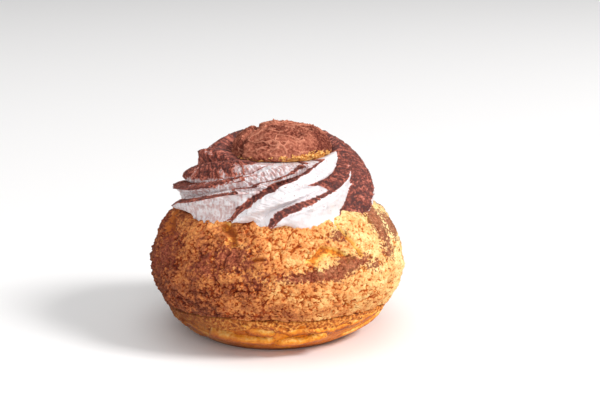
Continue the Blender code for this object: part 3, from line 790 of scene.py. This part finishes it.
# The cocoa in the fold: its lower and upper edge, as places across the ridge and shares of the climb.
FOLD_COCOA_LOW = ((0.5, 0.62), (1.5, 0.5), (1.75, 0.53), (2.0, 0.6))
FOLD_COCOA_HIGH = ((0.5, 0.62), (0.82, 0.73), (0.93, 0.88), (1.0, 1.3), (2.0, 1.3))
RIM_SNUG = 0.82  # share of the climb from which the cream closes up to the cap
RIM_LAP = 0.6 * MM
SEAT_GAP = 0.35 * MM
CREAM_ROOT = ((0.93, 2.5 * MM), (0.8, 4.0 * MM))
RISER_COLUMNS = 38
LEDGE_COLUMNS = 12
CREAM_ROWS = 236
SEAT_ROWS = 4
CLIMB_LENGTH = 54.0 * MM  # about how far a ridge runs from foot to rim

CAP_X = 0.8 * MM
CAP_Y = -0.3 * MM
CAP_RADIUS = 16.1 * MM
CAP_NARROWING = 0.08
CAP_UNDERSIDE_Z = 56.5 * MM
CAP_RAGGED = 0.8 * MM
CAP_RAGGED_TURN = 0.45


def bun_height_at(radius):
    """Height of the bun's smooth upper oval at this distance from its axis."""
    flat = 1.0 - (radius / BUN_RADIUS) ** 2
    return BUN_WIDEST_Z + BUN_UPPER_HEIGHT * flat ** (1.0 / BUN_SHOULDER_POWER)


def cap_edge(azimuth):
    """Radius of the cap's ragged edge at this azimuth."""
    oval = CAP_RADIUS * (1.0 - CAP_NARROWING * math.cos(math.radians(azimuth)) ** 2)
    return oval + CAP_RAGGED * ring_roughness(azimuth, CAP_RAGGED_TURN, CAP_TEETH)


def ridge_turn(climb):
    """Degrees that the ridges have turned at this share of the climb."""
    return RIDGE_TURN * climb**RIDGE_PACE / (climb + RIDGE_SLOW_START)


def ridge_section(across):
    """A ridge's section, 1 at its crest and 0 in the valley: a long riser below it, then a short ledge."""
    return 1.0 - across**RISER_POWER if across < 1.0 else across - 1.0


def lobe_height(azimuth):
    """How far the lobes at the foot stand out at this azimuth."""
    for start, end, stand in LOBES:
        share = (azimuth - start) % 360 / (end - start)
        if share < 1.0:
            return stand * MM * math.sin(math.pi * share) ** LOBE_ROUNDING
    return 0.0


def hump(middle_and_reach, climb):
    """1 at the middle climb, easing to 0 a little beyond its reach."""
    middle, reach = middle_and_reach
    return math.exp(-(((climb - middle) / reach) ** 2))


def fold_height(ridge, across, climb):
    """How far the folded riser stands out, or in where it is below 0."""
    if ridge != FOLD_RIDGE or across > 1.0:
        return 0.0
    beside = math.sin(math.pi * smooth_step(FOLD_START, 1.0, across) ** 0.7)
    return FOLD_HEIGHT * beside * (hump(FOLD_BULGE, climb) - hump(FOLD_LEDGE, climb) + hump(FOLD_LOBE, climb))


def comb_line(ridge, climb, below):
    """The comb lines, from -1 to 1. below is how far the point lies from the crest, level round the cream."""
    along = climb * CLIMB_LENGTH + COMB_SLANT * below
    down = below / COMB_LENGTH
    coarse = noise.noise(Vector((0.45 * along / COMB_SPACING, down, 2.9 * ridge)))
    return noise.noise(Vector((along / COMB_SPACING, 1.5 * down, 3.7 * ridge))) + 0.35 * coarse


def cream_point(ridge, across, climb):
    """A point of the cream, with its marks: how far it lies in mm from the crest of the ridge above it and from
    that of the ridge below it, and its comb line. across is 0 on the one, 1 in the valley and 2 on the other."""
    foot, run, run_in, stand, *_ = RIDGES[ridge]
    after = (ridge + 1) % len(RIDGES)
    next_foot, next_run, next_run_in, next_stand, ledge_low, ledge_high = RIDGES[after]
    next_foot = foot + (next_foot - foot) % 360
    next_run = run + (next_run - run) % 360
    crest = foot + (run - foot) * smooth_step(0.0, run_in, climb)
    gap = next_foot + (next_run - next_foot) * smooth_step(0.0, next_run_in, climb) - crest
    ledge = min(LEDGE_SHARE, (ledge_low + (ledge_high - ledge_low) * climb) / gap)
    share = across * (1.0 - ledge) if across < 1.0 else 1.0 - ledge * (2.0 - across)
    azimuth = crest + share * gap + ridge_turn(climb)
    stand += (next_stand - stand) * share
    stand *= MM * (1.0 - RIM_THINNING * smooth_step(LIFT_START, 1.0, climb))

    as_ridge = smooth_step(0.0, LOBE_CLIMB, climb)
    section = as_ridge * ridge_section(across)
    turn = math.radians(CREAM_RIM_TURN * climb)
    radius = CREAM_RADIUS * math.cos(turn)
    around_gap = math.radians(gap) * radius
    below, above = share * around_gap, (1.0 - share) * around_gap
    dip = FRONT_DIP * (0.5 + 0.5 * math.cos(math.radians(azimuth))) ** 1.5
    height = CREAM_FOOT_Z + CREAM_RISE * math.sin(turn) * (1.0 - dip)
    smooth = around(azimuth, radius, height)
    torn = 1.0 + TEAR_DEPTH * roughness(smooth, TEAR_SIZE, TEARS)

    nearer = ridge if across < 1.0 else after
    low_swing, high_swing = FINISH[nearer][:2]
    swing = low_swing + (high_swing - low_swing) * smooth_step(*SWING_CHANGE, climb)
    swing *= noise.noise(Vector((climb * CLIMB_LENGTH / SWING_SIZE, 5.1 * nearer, 2.7)))
    azimuth += swing * abs(1.0 - across) * smooth_step(0.05, 0.25, climb)
    lift = smooth_step(LIFT_START, LIFT_END, climb)
    at_foot = 1.0 - smooth_step(0.0, FOOT_CLIMB, climb)
    comb = comb_line(ridge, climb, below)
    combed = FINISH[ridge][2] + (FINISH[after][2] - FINISH[ridge][2]) * share
    near_crest = max(0.0, 1.0 - min(below, above) / (1.5 * MM))
    fine = COMB_DEPTH * combed * comb + FROTH_HEIGHT * roughness(smooth, FROTH_SIZE, FLAKES)
    fine += FRAY_HEIGHT * near_crest * roughness(smooth, FRAY_SIZE, TEARS)
    radius += stand * section * torn * (1.0 - LIFT_INWARD * lift) - FOOT_TUCK * at_foot * at_foot
    radius += fold_height(ridge, across, climb) + (1.0 - as_ridge) * lobe_height(azimuth) + fine
    if FULL_RIDGE in (ridge, after):
        towards = share if after == FULL_RIDGE else 1.0 - share
        radius += FULL_HEIGHT * hump(FULL_CLIMB, climb) * smooth_step(0.0, 1.0, towards)
    height += stand * section * torn * LIFT_UPWARD * lift - CREST_DROOP * section**3 * (1.0 - lift)
    height += 0.5 * fine * lift
    height += (bun_height_at(radius) - FOOT_SUNK - height) * at_foot
    height += max(0.0, CAP_UNDERSIDE_Z - height) * smooth_step(RIM_SNUG, 1.0, climb)
    lean = CREAM_FOOT_X + (CREAM_RIM_X - CREAM_FOOT_X) * climb
    place = around(azimuth, radius, height) + Vector((lean, 0.0, 0.0))
    torn_swing = noise.noise(Vector((climb * CLIMB_LENGTH / SWING_SIZE, 9.3, 4.1)))
    return place, below / MM, above / MM, comb, roughness(smooth, PATCH_SIZE, CRAGS), torn_swing


def cream_column(azimuth):
    """The ridge and the place across it of a column of the sphere at this azimuth."""
    column = round(azimuth / 360.0 * len(RIDGES) * (RISER_COLUMNS + LEDGE_COLUMNS))
    ridge, column = divmod(column, RISER_COLUMNS + LEDGE_COLUMNS)
    across = column / RISER_COLUMNS if column < RISER_COLUMNS else 1.0 + (column - RISER_COLUMNS) / LEDGE_COLUMNS
    return ridge % len(RIDGES), across


def cream_shape(azimuth, row):
    """A corner of the cream, with its marks: its ridge, the climb, its place across, the way in mm to the crest
    above and to the crest below, its comb line, and the patches."""
    ridge, across = cream_column(azimuth)
    climb_row = row - len(CREAM_ROOT) - 1
    climb = min(1.0, max(0.0, climb_row / CREAM_ROWS))
    place, *marks = cream_point(ridge, across, climb)
    if row == 0:
        place = Vector((CREAM_FOOT_X, 0.0, CREAM_FOOT_Z - 5.0 * MM))
    elif climb_row < 0:
        share, depth = CREAM_ROOT[len(CREAM_ROOT) - row]
        place = Vector((place.x * share, place.y * share, place.z - depth))
    elif climb_row > CREAM_ROWS:
        from_cap = place - Vector((CAP_X, CAP_Y, 0.0))
        turn = math.degrees(math.atan2(from_cap.x, -from_cap.y))
        seat_z = CAP_UNDERSIDE_Z - SEAT_GAP
        share, height = ((1.0, 0.5 * (place.z + seat_z)), (0.97, seat_z), (0.5, seat_z), (0.0, seat_z))[
            climb_row - CREAM_ROWS - 1
        ]
        place = around(turn, share * (cap_edge(turn) - RIM_LAP), max(seat_z, height)) + Vector((CAP_X, CAP_Y, 0.0))
    return place, ridge, climb, across, *marks


cream = sculpted(
    "whipped_cream",
    len(RIDGES) * (RISER_COLUMNS + LEDGE_COLUMNS),
    1 + len(CREAM_ROOT) + CREAM_ROWS + SEAT_ROWS,
    cream_shape,
    ("ridge", "climb", "across", "below", "above", "comb", "patch", "swing"),
)


def read_mark(piece, mark):
    """One of a piece's marks, as an array with a value for each corner."""
    values = np.empty(len(piece.data.vertices), np.float32)
    piece.data.attributes[mark].data.foreach_get("value", values)
    return values


def smooth_steps(low, high, values):
    """smooth_step for an array."""
    shares = np.clip((values - low) / (high - low), 0.0, 1.0)
    return shares * shares * (3.0 - 2.0 * shares)


marks = ("ridge", "climb", "across", "below", "above", "comb", "patch", "swing")
ridge, climb, across, below, above, comb, patch, comb_swing = (read_mark(cream, mark) for mark in marks)
above_ridge = ridge.astype(int)
below_ridge = (above_ridge + 1) % len(RIDGES)
cover, reach = np.zeros_like(climb), np.zeros_like(climb)
for number, band in enumerate(COCOA_BANDS):
    climbs, upwards, downwards = zip(*band)
    cover[below_ridge == number] = np.interp(climb[below_ridge == number], climbs, upwards)
    bare_edge = np.interp(climb, climbs, downwards)
    reach[above_ridge == number] = bare_edge[above_ridge == number]
bare_edge = np.zeros_like(climb)
for number, band in enumerate(COCOA_BANDS):
    climbs, _, downwards = zip(*band)
    here = below_ridge == number
    bare_edge[here] = np.maximum(0.0, -np.interp(climb[here], climbs, downwards))

on_ledge = 1.0 - smooth_steps(cover - 0.5, cover + 0.5, above + 0.5 * comb)
on_ledge *= smooth_steps(bare_edge - 0.4, bare_edge + 0.1, above + 0.4 * comb)
past_valley = np.isin(below_ridge, (FOLD_RIDGE, FOLD_RIDGE + 2))
on_ledge *= np.where(past_valley, 1.0, smooth_steps(0.9, 1.0, across))
streak = below - np.minimum(2.5, 1.2 * np.maximum(0.0, reach)) * comb
on_riser = (reach > 0.0) * (1.0 - smooth_steps(0.4 * reach, 1.25 * reach + 0.3, streak)) * (across < 1.0)
torn_line = 2.2 + 2.4 * comb_swing
scallops = (ridge == 0) * np.exp(-(((below - torn_line) / 0.4) ** 2))
scallops *= np.exp(-(((climb - SECOND_SCALLOPS[0]) / SECOND_SCALLOPS[1]) ** 4))
low, high = (np.interp(across, *zip(*edge)) for edge in (FOLD_COCOA_LOW, FOLD_COCOA_HIGH))
ragged = climb + 0.02 * comb
in_fold = (ridge == FOLD_RIDGE) * smooth_steps(low - 0.01, low + 0.015, ragged)
in_fold *= 1.0 - smooth_steps(high - 0.01, high + 0.02, ragged)
in_fold *= 1.0 - smooth_steps(1.7, 1.85, across) * np.exp(-(((climb - 0.71) / 0.05) ** 2))
cocoa = np.maximum.reduce((on_riser, on_ledge, in_fold, 0.9 * scallops))
cocoa *= smooth_steps(0.03, 0.13, climb + 0.05 * comb)
thin = 0.55 * (ridge >= 5) * smooth_steps(0.05, 0.5, patch) * (1.0 - smooth_steps(0.93, 1.0, climb))
cocoa *= 1.0 - thin * smooth_steps(0.0, 1.5, np.minimum(above, below))
# how much painted shade each shaded riser takes
riser_shade = np.array([row[3] for row in FINISH])[above_ridge] * (1.0 - smooth_steps(1.0, 1.6, across))
for name, values in (("cocoa", cocoa), ("riser_shade", riser_shade)):
    layer = cream.data.attributes.new(name, "FLOAT", "POINT")
    layer.data.foreach_set("value", values.astype(np.float32))

cream_froth, tree, shader = new_material(
    "whipped_cream", Roughness=0.5, Specular_IOR_Level=0.4, Subsurface_Weight=0.2, Subsurface_Scale=1.5 * MM
)
shader.inputs["Subsurface Radius"].default_value = (1.0, 0.8, 0.7)
mottle = grain(tree, 1.3 * MM)
specks = grain(tree, 0.42 * MM, detail=3.0)
white = shades(tree, mottle, (0.3, srgb(222, 217, 219)), (0.7, srgb(232, 229, 231)))
streaks = grain(tree, 0.4 * MM, detail=2.0, stretch=(1.0, 1.0, 0.3))
# painted shade on the shaded risers, darkest in the comb grooves, in a warm pinkish brown
painted_riser_shade = arithmetic(tree, "ADD", streaks, spread(tree, attribute(tree, "comb"), -0.6, 0.6, -0.1, 0.1))
painted_riser_shade = arithmetic(tree, "ADD", painted_riser_shade, spread(tree, specks, 0.3, 0.7, -0.1, 0.1))
painted_riser_shade = spread(tree, painted_riser_shade, 0.3, 0.66, 0.85, 0.04)
painted_riser_shade = arithmetic(tree, "MULTIPLY", painted_riser_shade, attribute(tree, "riser_shade"))
white = mixed(tree, painted_riser_shade, white, srgb(178, 114, 104))
powder = spread(tree, attribute(tree, "cocoa"), 0.0, 1.0, 0.0, 1.25)
powder = arithmetic(tree, "ADD", powder, spread(tree, specks, 0.3, 0.7, -0.3, 0.3))
powder = arithmetic(tree, "ADD", powder, spread(tree, mottle, 0.35, 0.65, -0.15, 0.15))
share = spread(tree, powder, 0.3, 0.75, 0.0, 0.97)
cocoa_and_groove_shade = arithmetic(tree, "ADD", spread(tree, attribute(tree, "cocoa"), 0.3, 1.0, -0.2, 0.06), specks)
# painted shade: the cocoa is darker in the comb grooves
cocoa_and_groove_shade = arithmetic(tree, "ADD", cocoa_and_groove_shade, spread(tree, attribute(tree, "comb"), -0.6, 0.6, 0.1, -0.16))
cocoa_tone = shades(
    tree,
    cocoa_and_groove_shade,
    (0.28, srgb(200, 118, 96)),
    (0.41, srgb(156, 76, 58)),
    (0.52, srgb(108, 46, 35)),
    (0.68, srgb(70, 27, 23)),
)
tree.links.new(mixed(tree, share, white, cocoa_tone), shader.inputs["Base Color"])
tree.links.new(spread(tree, share, 0.0, 1.0, 0.45, 0.95), shader.inputs["Roughness"])
tree.links.new(bump(tree, specks, 0.15 * MM), shader.inputs["Normal"])
cream.data.materials.append(cream_froth)
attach(cream, "root")
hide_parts("cream_swirl")


# ---------------------------------------------------------------- the cap
# The top of the bun, sliced off and set back on the cream. Its crust crinkled into fine ridges under a thick
# dusting of cocoa, and golden crumb shows along its torn edge.
# Made from a fourth ball, flat underneath and domed above.

CAP_HEIGHT = 9.8 * MM
CAP_EDGE_HEIGHT = 1.5 * MM
CAP_DOME_POWER = 2.5
CAP_WRINKLE_SIZE = 4.2 * MM
CAP_WRINKLE = 0.8 * MM
CAP_LUMP_SIZE = 9.2 * MM
CAP_RELIEF_LEAN = 0.4
CAP_SPLIT = ((-12.6, -9.0), (-9.6, -2.0), (-7.2, 4.0), (-6.4, 6.0))
CAP_SPLIT_HALF_WIDTH = 1.6 * MM
CAP_SPLIT_DEPTH = 2.4 * MM
CAP_LUMP_DROP = 1.3 * MM  # how far the parted lump sank
# The crinkles: how far apart, how tall, and how strongly the painted highlight on the ridge of each shows.
CRINKLES = ((3.2 * MM, 0.5 * MM, 1.0), (1.8 * MM, 0.32 * MM, 0.8), (1.0 * MM, 0.16 * MM, 0.45))
CRINKLE_REACH = 0.11
CRINKLE_STRETCH = 2.6  # the crinkles run from side to side
CRINKLE_WANDER = 0.7 * MM
TOOTH_SIZE = 1.6 * MM
TOOTH_HEIGHT = 0.55 * MM
CRUMB_AZIMUTH = 48.0  # where the bare crumb along the edge is tallest
CRUMB_TURN = 34.0
CRUMB_TALLEST = 2.4
CRUMB_LOWEST = 0.35
CAP_COLUMNS = 420
CAP_UNDER_ROWS = 8
CAP_EDGE_ROWS = 14
CAP_DOME_ROWS = 130


def cap_crinkles(point):
    """The cap's crinkles: their height in metres, and how near the top of one the point lies, from 0 to 1, where a
    highlight is painted.
    """
    stray = Vector(roughness(point, 2.6 * MM, seed) for seed in CRACK_WANDERS)
    flat = Vector((point.x / CRINKLE_STRETCH, point.y, point.z)) + CRINKLE_WANDER * stray
    height, crinkle_highlight = 0.0, 0.0
    for size, tall, show in CRINKLES:
        near = abs(roughness(flat, size, WRINKLES)) / CRINKLE_REACH
        open_here = smooth_step(-0.5, 0.2, roughness(point, 2.2 * size, CRAGS))
        line = max(0.0, 1.0 - near) ** 1.5 * open_here
        height += tall * (line - 0.25 * min(2.0, near))
        crinkle_highlight = max(crinkle_highlight, show * line)
    return height, crinkle_highlight


def cap_relief(point):
    """Height of the cap's wrinkles and of its split here, how near the top of a crinkle, where a highlight is
    painted, and in the split, which is painted dark as shade.
    """
    lumps = CAP_WRINKLE * roughness(point, CAP_LUMP_SIZE, CAP_LUMPS)
    wrinkles = CAP_WRINKLE * roughness(point, CAP_WRINKLE_SIZE, CAP_WRINKLES)
    path = [Vector((right * MM, back * MM, 0.0)) for right, back in CAP_SPLIT]
    near = nearest_on_path(Vector((point.x, point.y, 0.0)), path).length / CAP_SPLIT_HALF_WIDTH
    in_split = 1.0 - smooth_step(SPLIT_FLOOR, 1.0, near + 0.3 * roughness(point, 2.0 * MM, FLAKES))
    crinkle, crinkle_highlight = cap_crinkles(point)
    sunk = CAP_LUMP_DROP * smooth_step(4.5 * MM, 9.0 * MM, -point.x)
    return lumps + wrinkles + crinkle - CAP_SPLIT_DEPTH * in_split - sunk, crinkle_highlight, in_split


def cap_shape(azimuth, row):
    """A corner of the cap, with its marks: crinkle, whose top is painted as a highlight, split, painted dark as
    shade, and bare crumb.
    """
    edge_row = row - CAP_UNDER_ROWS
    dome_row = edge_row - CAP_EDGE_ROWS
    if edge_row <= 0:
        share, height = 0.95 * row / CAP_UNDER_ROWS, 0.0
    elif dome_row <= 0:
        up_edge = edge_row / CAP_EDGE_ROWS
        share, height = 0.95 + 0.05 * math.sin(0.5 * math.pi * up_edge), CAP_EDGE_HEIGHT * up_edge
    else:
        turn = 0.5 * math.pi * dome_row / CAP_DOME_ROWS
        share = math.cos(turn) ** (2.0 / CAP_DOME_POWER) if dome_row < CAP_DOME_ROWS else 0.0
        height = CAP_EDGE_HEIGHT + (CAP_HEIGHT - CAP_EDGE_HEIGHT) * math.sin(turn) ** (2.0 / CAP_DOME_POWER)
    place = around(azimuth, share * cap_edge(azimuth), height)
    relief, crinkle_highlight, in_split = cap_relief(place)
    relief *= smooth_step(0.0, 2.0 * CAP_EDGE_HEIGHT, height)
    tooth = TOOTH_HEIGHT * roughness(place, TOOTH_SIZE, CAP_TEETH) * (1.0 - smooth_step(2.0 * MM, 4.5 * MM, height))
    lean = CAP_RELIEF_LEAN * share
    outward = around(azimuth, (relief - CAP_WRINKLE) * lean + tooth * share, relief * (1.0 - lean))
    crumb_top = CRUMB_LOWEST + (CRUMB_TALLEST - CRUMB_LOWEST) * math.exp(
        -(((azimuth + 180.0) % 360.0 - 180.0 - CRUMB_AZIMUTH) / CRUMB_TURN) ** 2
    )
    crumb_top += 1.0 * roughness(place, 2.2 * MM, RIM_CRUMBLES) + 0.8 * roughness(place, 0.8 * MM, FLAKES)
    crumb = 1.0 - smooth_step(-0.9, 0.9, height / MM - crumb_top)
    return place + outward + Vector((CAP_X, CAP_Y, CAP_UNDERSIDE_Z)), crinkle_highlight, in_split, crumb


cap = sculpted(
    "sliced_cap",
    CAP_COLUMNS,
    CAP_UNDER_ROWS + CAP_EDGE_ROWS + CAP_DOME_ROWS,
    cap_shape,
    ("crinkle", "split", "crumb"),
)
cap_crust, tree, shader = new_material("cocoa_dusted_crust", Roughness=0.95, Specular_IOR_Level=0.15)
patches = grain(tree, 4.0 * MM, detail=1.0)
mottle = grain(tree, 1.3 * MM)
specks = grain(tree, 0.42 * MM, detail=3.0)
powder = arithmetic(tree, "ADD", specks, spread(tree, patches, 0.35, 0.65, -0.16, 0.12))
dusted = shades(
    tree,
    powder,
    (0.3, srgb(96, 44, 34)),
    (0.45, srgb(140, 75, 58)),
    (0.62, srgb(174, 104, 82)),
    (0.8, srgb(200, 130, 104)),
)
crinkle = arithmetic(tree, "ADD", attribute(tree, "crinkle"), spread(tree, specks, 0.3, 0.7, -0.15, 0.15))
# painted highlight: the crinkle tops are paler
dusted = mixed(tree, spread(tree, crinkle, 0.12, 0.7, 0.0, 0.62), dusted, srgb(220, 148, 120))
# painted shade: darker in the cap's split
dusted = mixed(tree, spread(tree, attribute(tree, "split"), 0.1, 1.0, 0.0, 0.6), dusted, srgb(84, 40, 32))
crumb = shades(tree, specks, (0.32, srgb(170, 92, 40)), (0.5, srgb(218, 150, 76)), (0.68, srgb(250, 208, 134)))
bare = arithmetic(tree, "ADD", attribute(tree, "crumb"), spread(tree, specks, 0.3, 0.7, -0.4, 0.4))
colour = mixed(tree, spread(tree, bare, 0.35, 0.75, 0.0, 0.9), dusted, crumb)
tree.links.new(colour, shader.inputs["Base Color"])
tree.links.new(bump(tree, specks, 0.25 * MM), shader.inputs["Normal"])
cap.data.materials.append(cap_crust)
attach(cap, "root")
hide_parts("choux_cap")


# ---------------------------------------------------------------- the loose cocoa and the crumbs
# Cocoa powder was sieved over the finished puff: its coarser grains lie on the drifts and along their edges, and
# a few fell on the bare cream. Golden crumbs broke off the cap's torn edge and stayed there.
# Each grain is a tiny lump with eight faces, and all of a kind are joined into one piece.

COCOA_GRAINS = (("cream", 13000), ("crust", 6500), ("cap", 2500))
COCOA_SIZES = (0.06 * MM, 0.15 * MM)
CRUMB_COUNT = 420
CRUMB_SIZES = (0.12 * MM, 0.4 * MM)
LUMP_SUNK = 0.3  # share of its size that a grain is pressed in
LUMP_FACES = ((0, 2, 4), (1, 4, 2), (0, 4, 3), (0, 5, 2), (1, 3, 4), (1, 2, 5), (0, 3, 5), (1, 5, 3))
draws = np.random.default_rng(11)


def strewn(piece, weights, count):
    """Random places on a piece and the normals there, with more of them where the weights are high."""
    mesh = piece.data
    mesh.calc_loop_triangles()
    corners = np.empty(3 * len(mesh.loop_triangles), np.int32)
    mesh.loop_triangles.foreach_get("vertices", corners)
    corners = corners.reshape(-1, 3)
    areas = np.empty(len(corners), np.float32)
    mesh.loop_triangles.foreach_get("area", areas)
    places = np.empty(3 * len(mesh.vertices), np.float32)
    mesh.vertices.foreach_get("co", places)
    normals = np.empty(3 * len(mesh.vertices), np.float32)
    mesh.vertices.foreach_get("normal", normals)
    places, normals = places.reshape(-1, 3), normals.reshape(-1, 3)
    chances = (areas * (weights * smooth_steps(-0.3, 0.2, normals[:, 2]))[corners].mean(axis=1)).astype(float)
    chosen = corners[draws.choice(len(corners), count, p=chances / chances.sum())]
    shares = draws.dirichlet((1.0, 1.0, 1.0), count)[:, :, None]
    return (places[chosen] * shares).sum(axis=1), (normals[chosen] * shares).sum(axis=1)


def lumps(name, places, normals, sizes):
    """One piece of many small lumps with eight faces, each turned and stretched in its own way."""
    count = len(places)
    first, second = draws.normal(size=(2, count, 3))
    first /= np.linalg.norm(first, axis=1)[:, None]
    second = np.cross(first, second)
    second /= np.linalg.norm(second, axis=1)[:, None]
    axes = np.stack((first, second, np.cross(first, second)), axis=1)
    size = sizes[0] + (sizes[1] - sizes[0]) * draws.random(count) ** 2
    axes *= (size[:, None] * draws.uniform(0.7, 1.2, (count, 3)))[:, :, None]
    middles = places + normals * (size * (1.0 - 2.0 * LUMP_SUNK))[:, None]
    corners = np.stack((middles[:, None] + axes, middles[:, None] - axes), axis=2).reshape(-1, 3)
    faces = (np.array(LUMP_FACES)[None] + 6 * np.arange(count)[:, None, None]).reshape(-1, 3)
    mesh = bpy.data.meshes.new(name)
    mesh.from_pydata(corners.tolist(), [], faces.tolist())
    piece = bpy.data.objects.new(name, mesh)
    bpy.context.collection.objects.link(piece)
    return piece


cap_height = np.empty(3 * len(cap.data.vertices), np.float32)
cap.data.vertices.foreach_get("co", cap_height)
cap_height = cap_height[2::3] - CAP_UNDERSIDE_Z
out_of_sight = (climb < 0.04) | (climb > 0.97)
cocoa_weights = {
    "cream": np.where(out_of_sight, 0.0, 0.02 + 0.5 * cocoa + 2.0 * cocoa * (1.0 - cocoa)),
    "crust": smooth_steps(0.2, 0.8, read_mark(crust, "cocoa")),
    "cap": smooth_steps(0.5 * MM, 2.0 * MM, cap_height),
}
pieces = {"cream": cream, "crust": crust, "cap": cap}
spots = [strewn(pieces[name], cocoa_weights[name], count) for name, count in COCOA_GRAINS]
cocoa_grains = lumps("cocoa_grains", *(np.concatenate(parts) for parts in zip(*spots)), COCOA_SIZES)
cocoa_powder, tree, shader = new_material("cocoa_powder", Roughness=0.95, Specular_IOR_Level=0.15)
specks = grain(tree, 0.3 * MM, detail=1.0)
colour = shades(tree, specks, (0.35, srgb(178, 100, 76)), (0.5, srgb(120, 56, 40)), (0.65, srgb(78, 32, 24)))
tree.links.new(colour, shader.inputs["Base Color"])
cocoa_grains.data.materials.append(cocoa_powder)
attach(cocoa_grains, "root")

torn_edge = read_mark(cap, "crumb") * smooth_steps(0.2 * MM, 0.6 * MM, cap_height)
cap_crumbs = lumps("cap_crumbs", *strewn(cap, torn_edge, CRUMB_COUNT), CRUMB_SIZES)
crumb_bake, tree, shader = new_material("golden_crumb", Roughness=0.8, Specular_IOR_Level=0.25)
specks = grain(tree, 0.3 * MM, detail=1.0)
colour = shades(tree, specks, (0.35, srgb(190, 112, 48)), (0.5, srgb(232, 168, 84)), (0.65, srgb(252, 214, 140)))
tree.links.new(colour, shader.inputs["Base Color"])
cap_crumbs.data.materials.append(crumb_bake)
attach(cap_crumbs, "root")
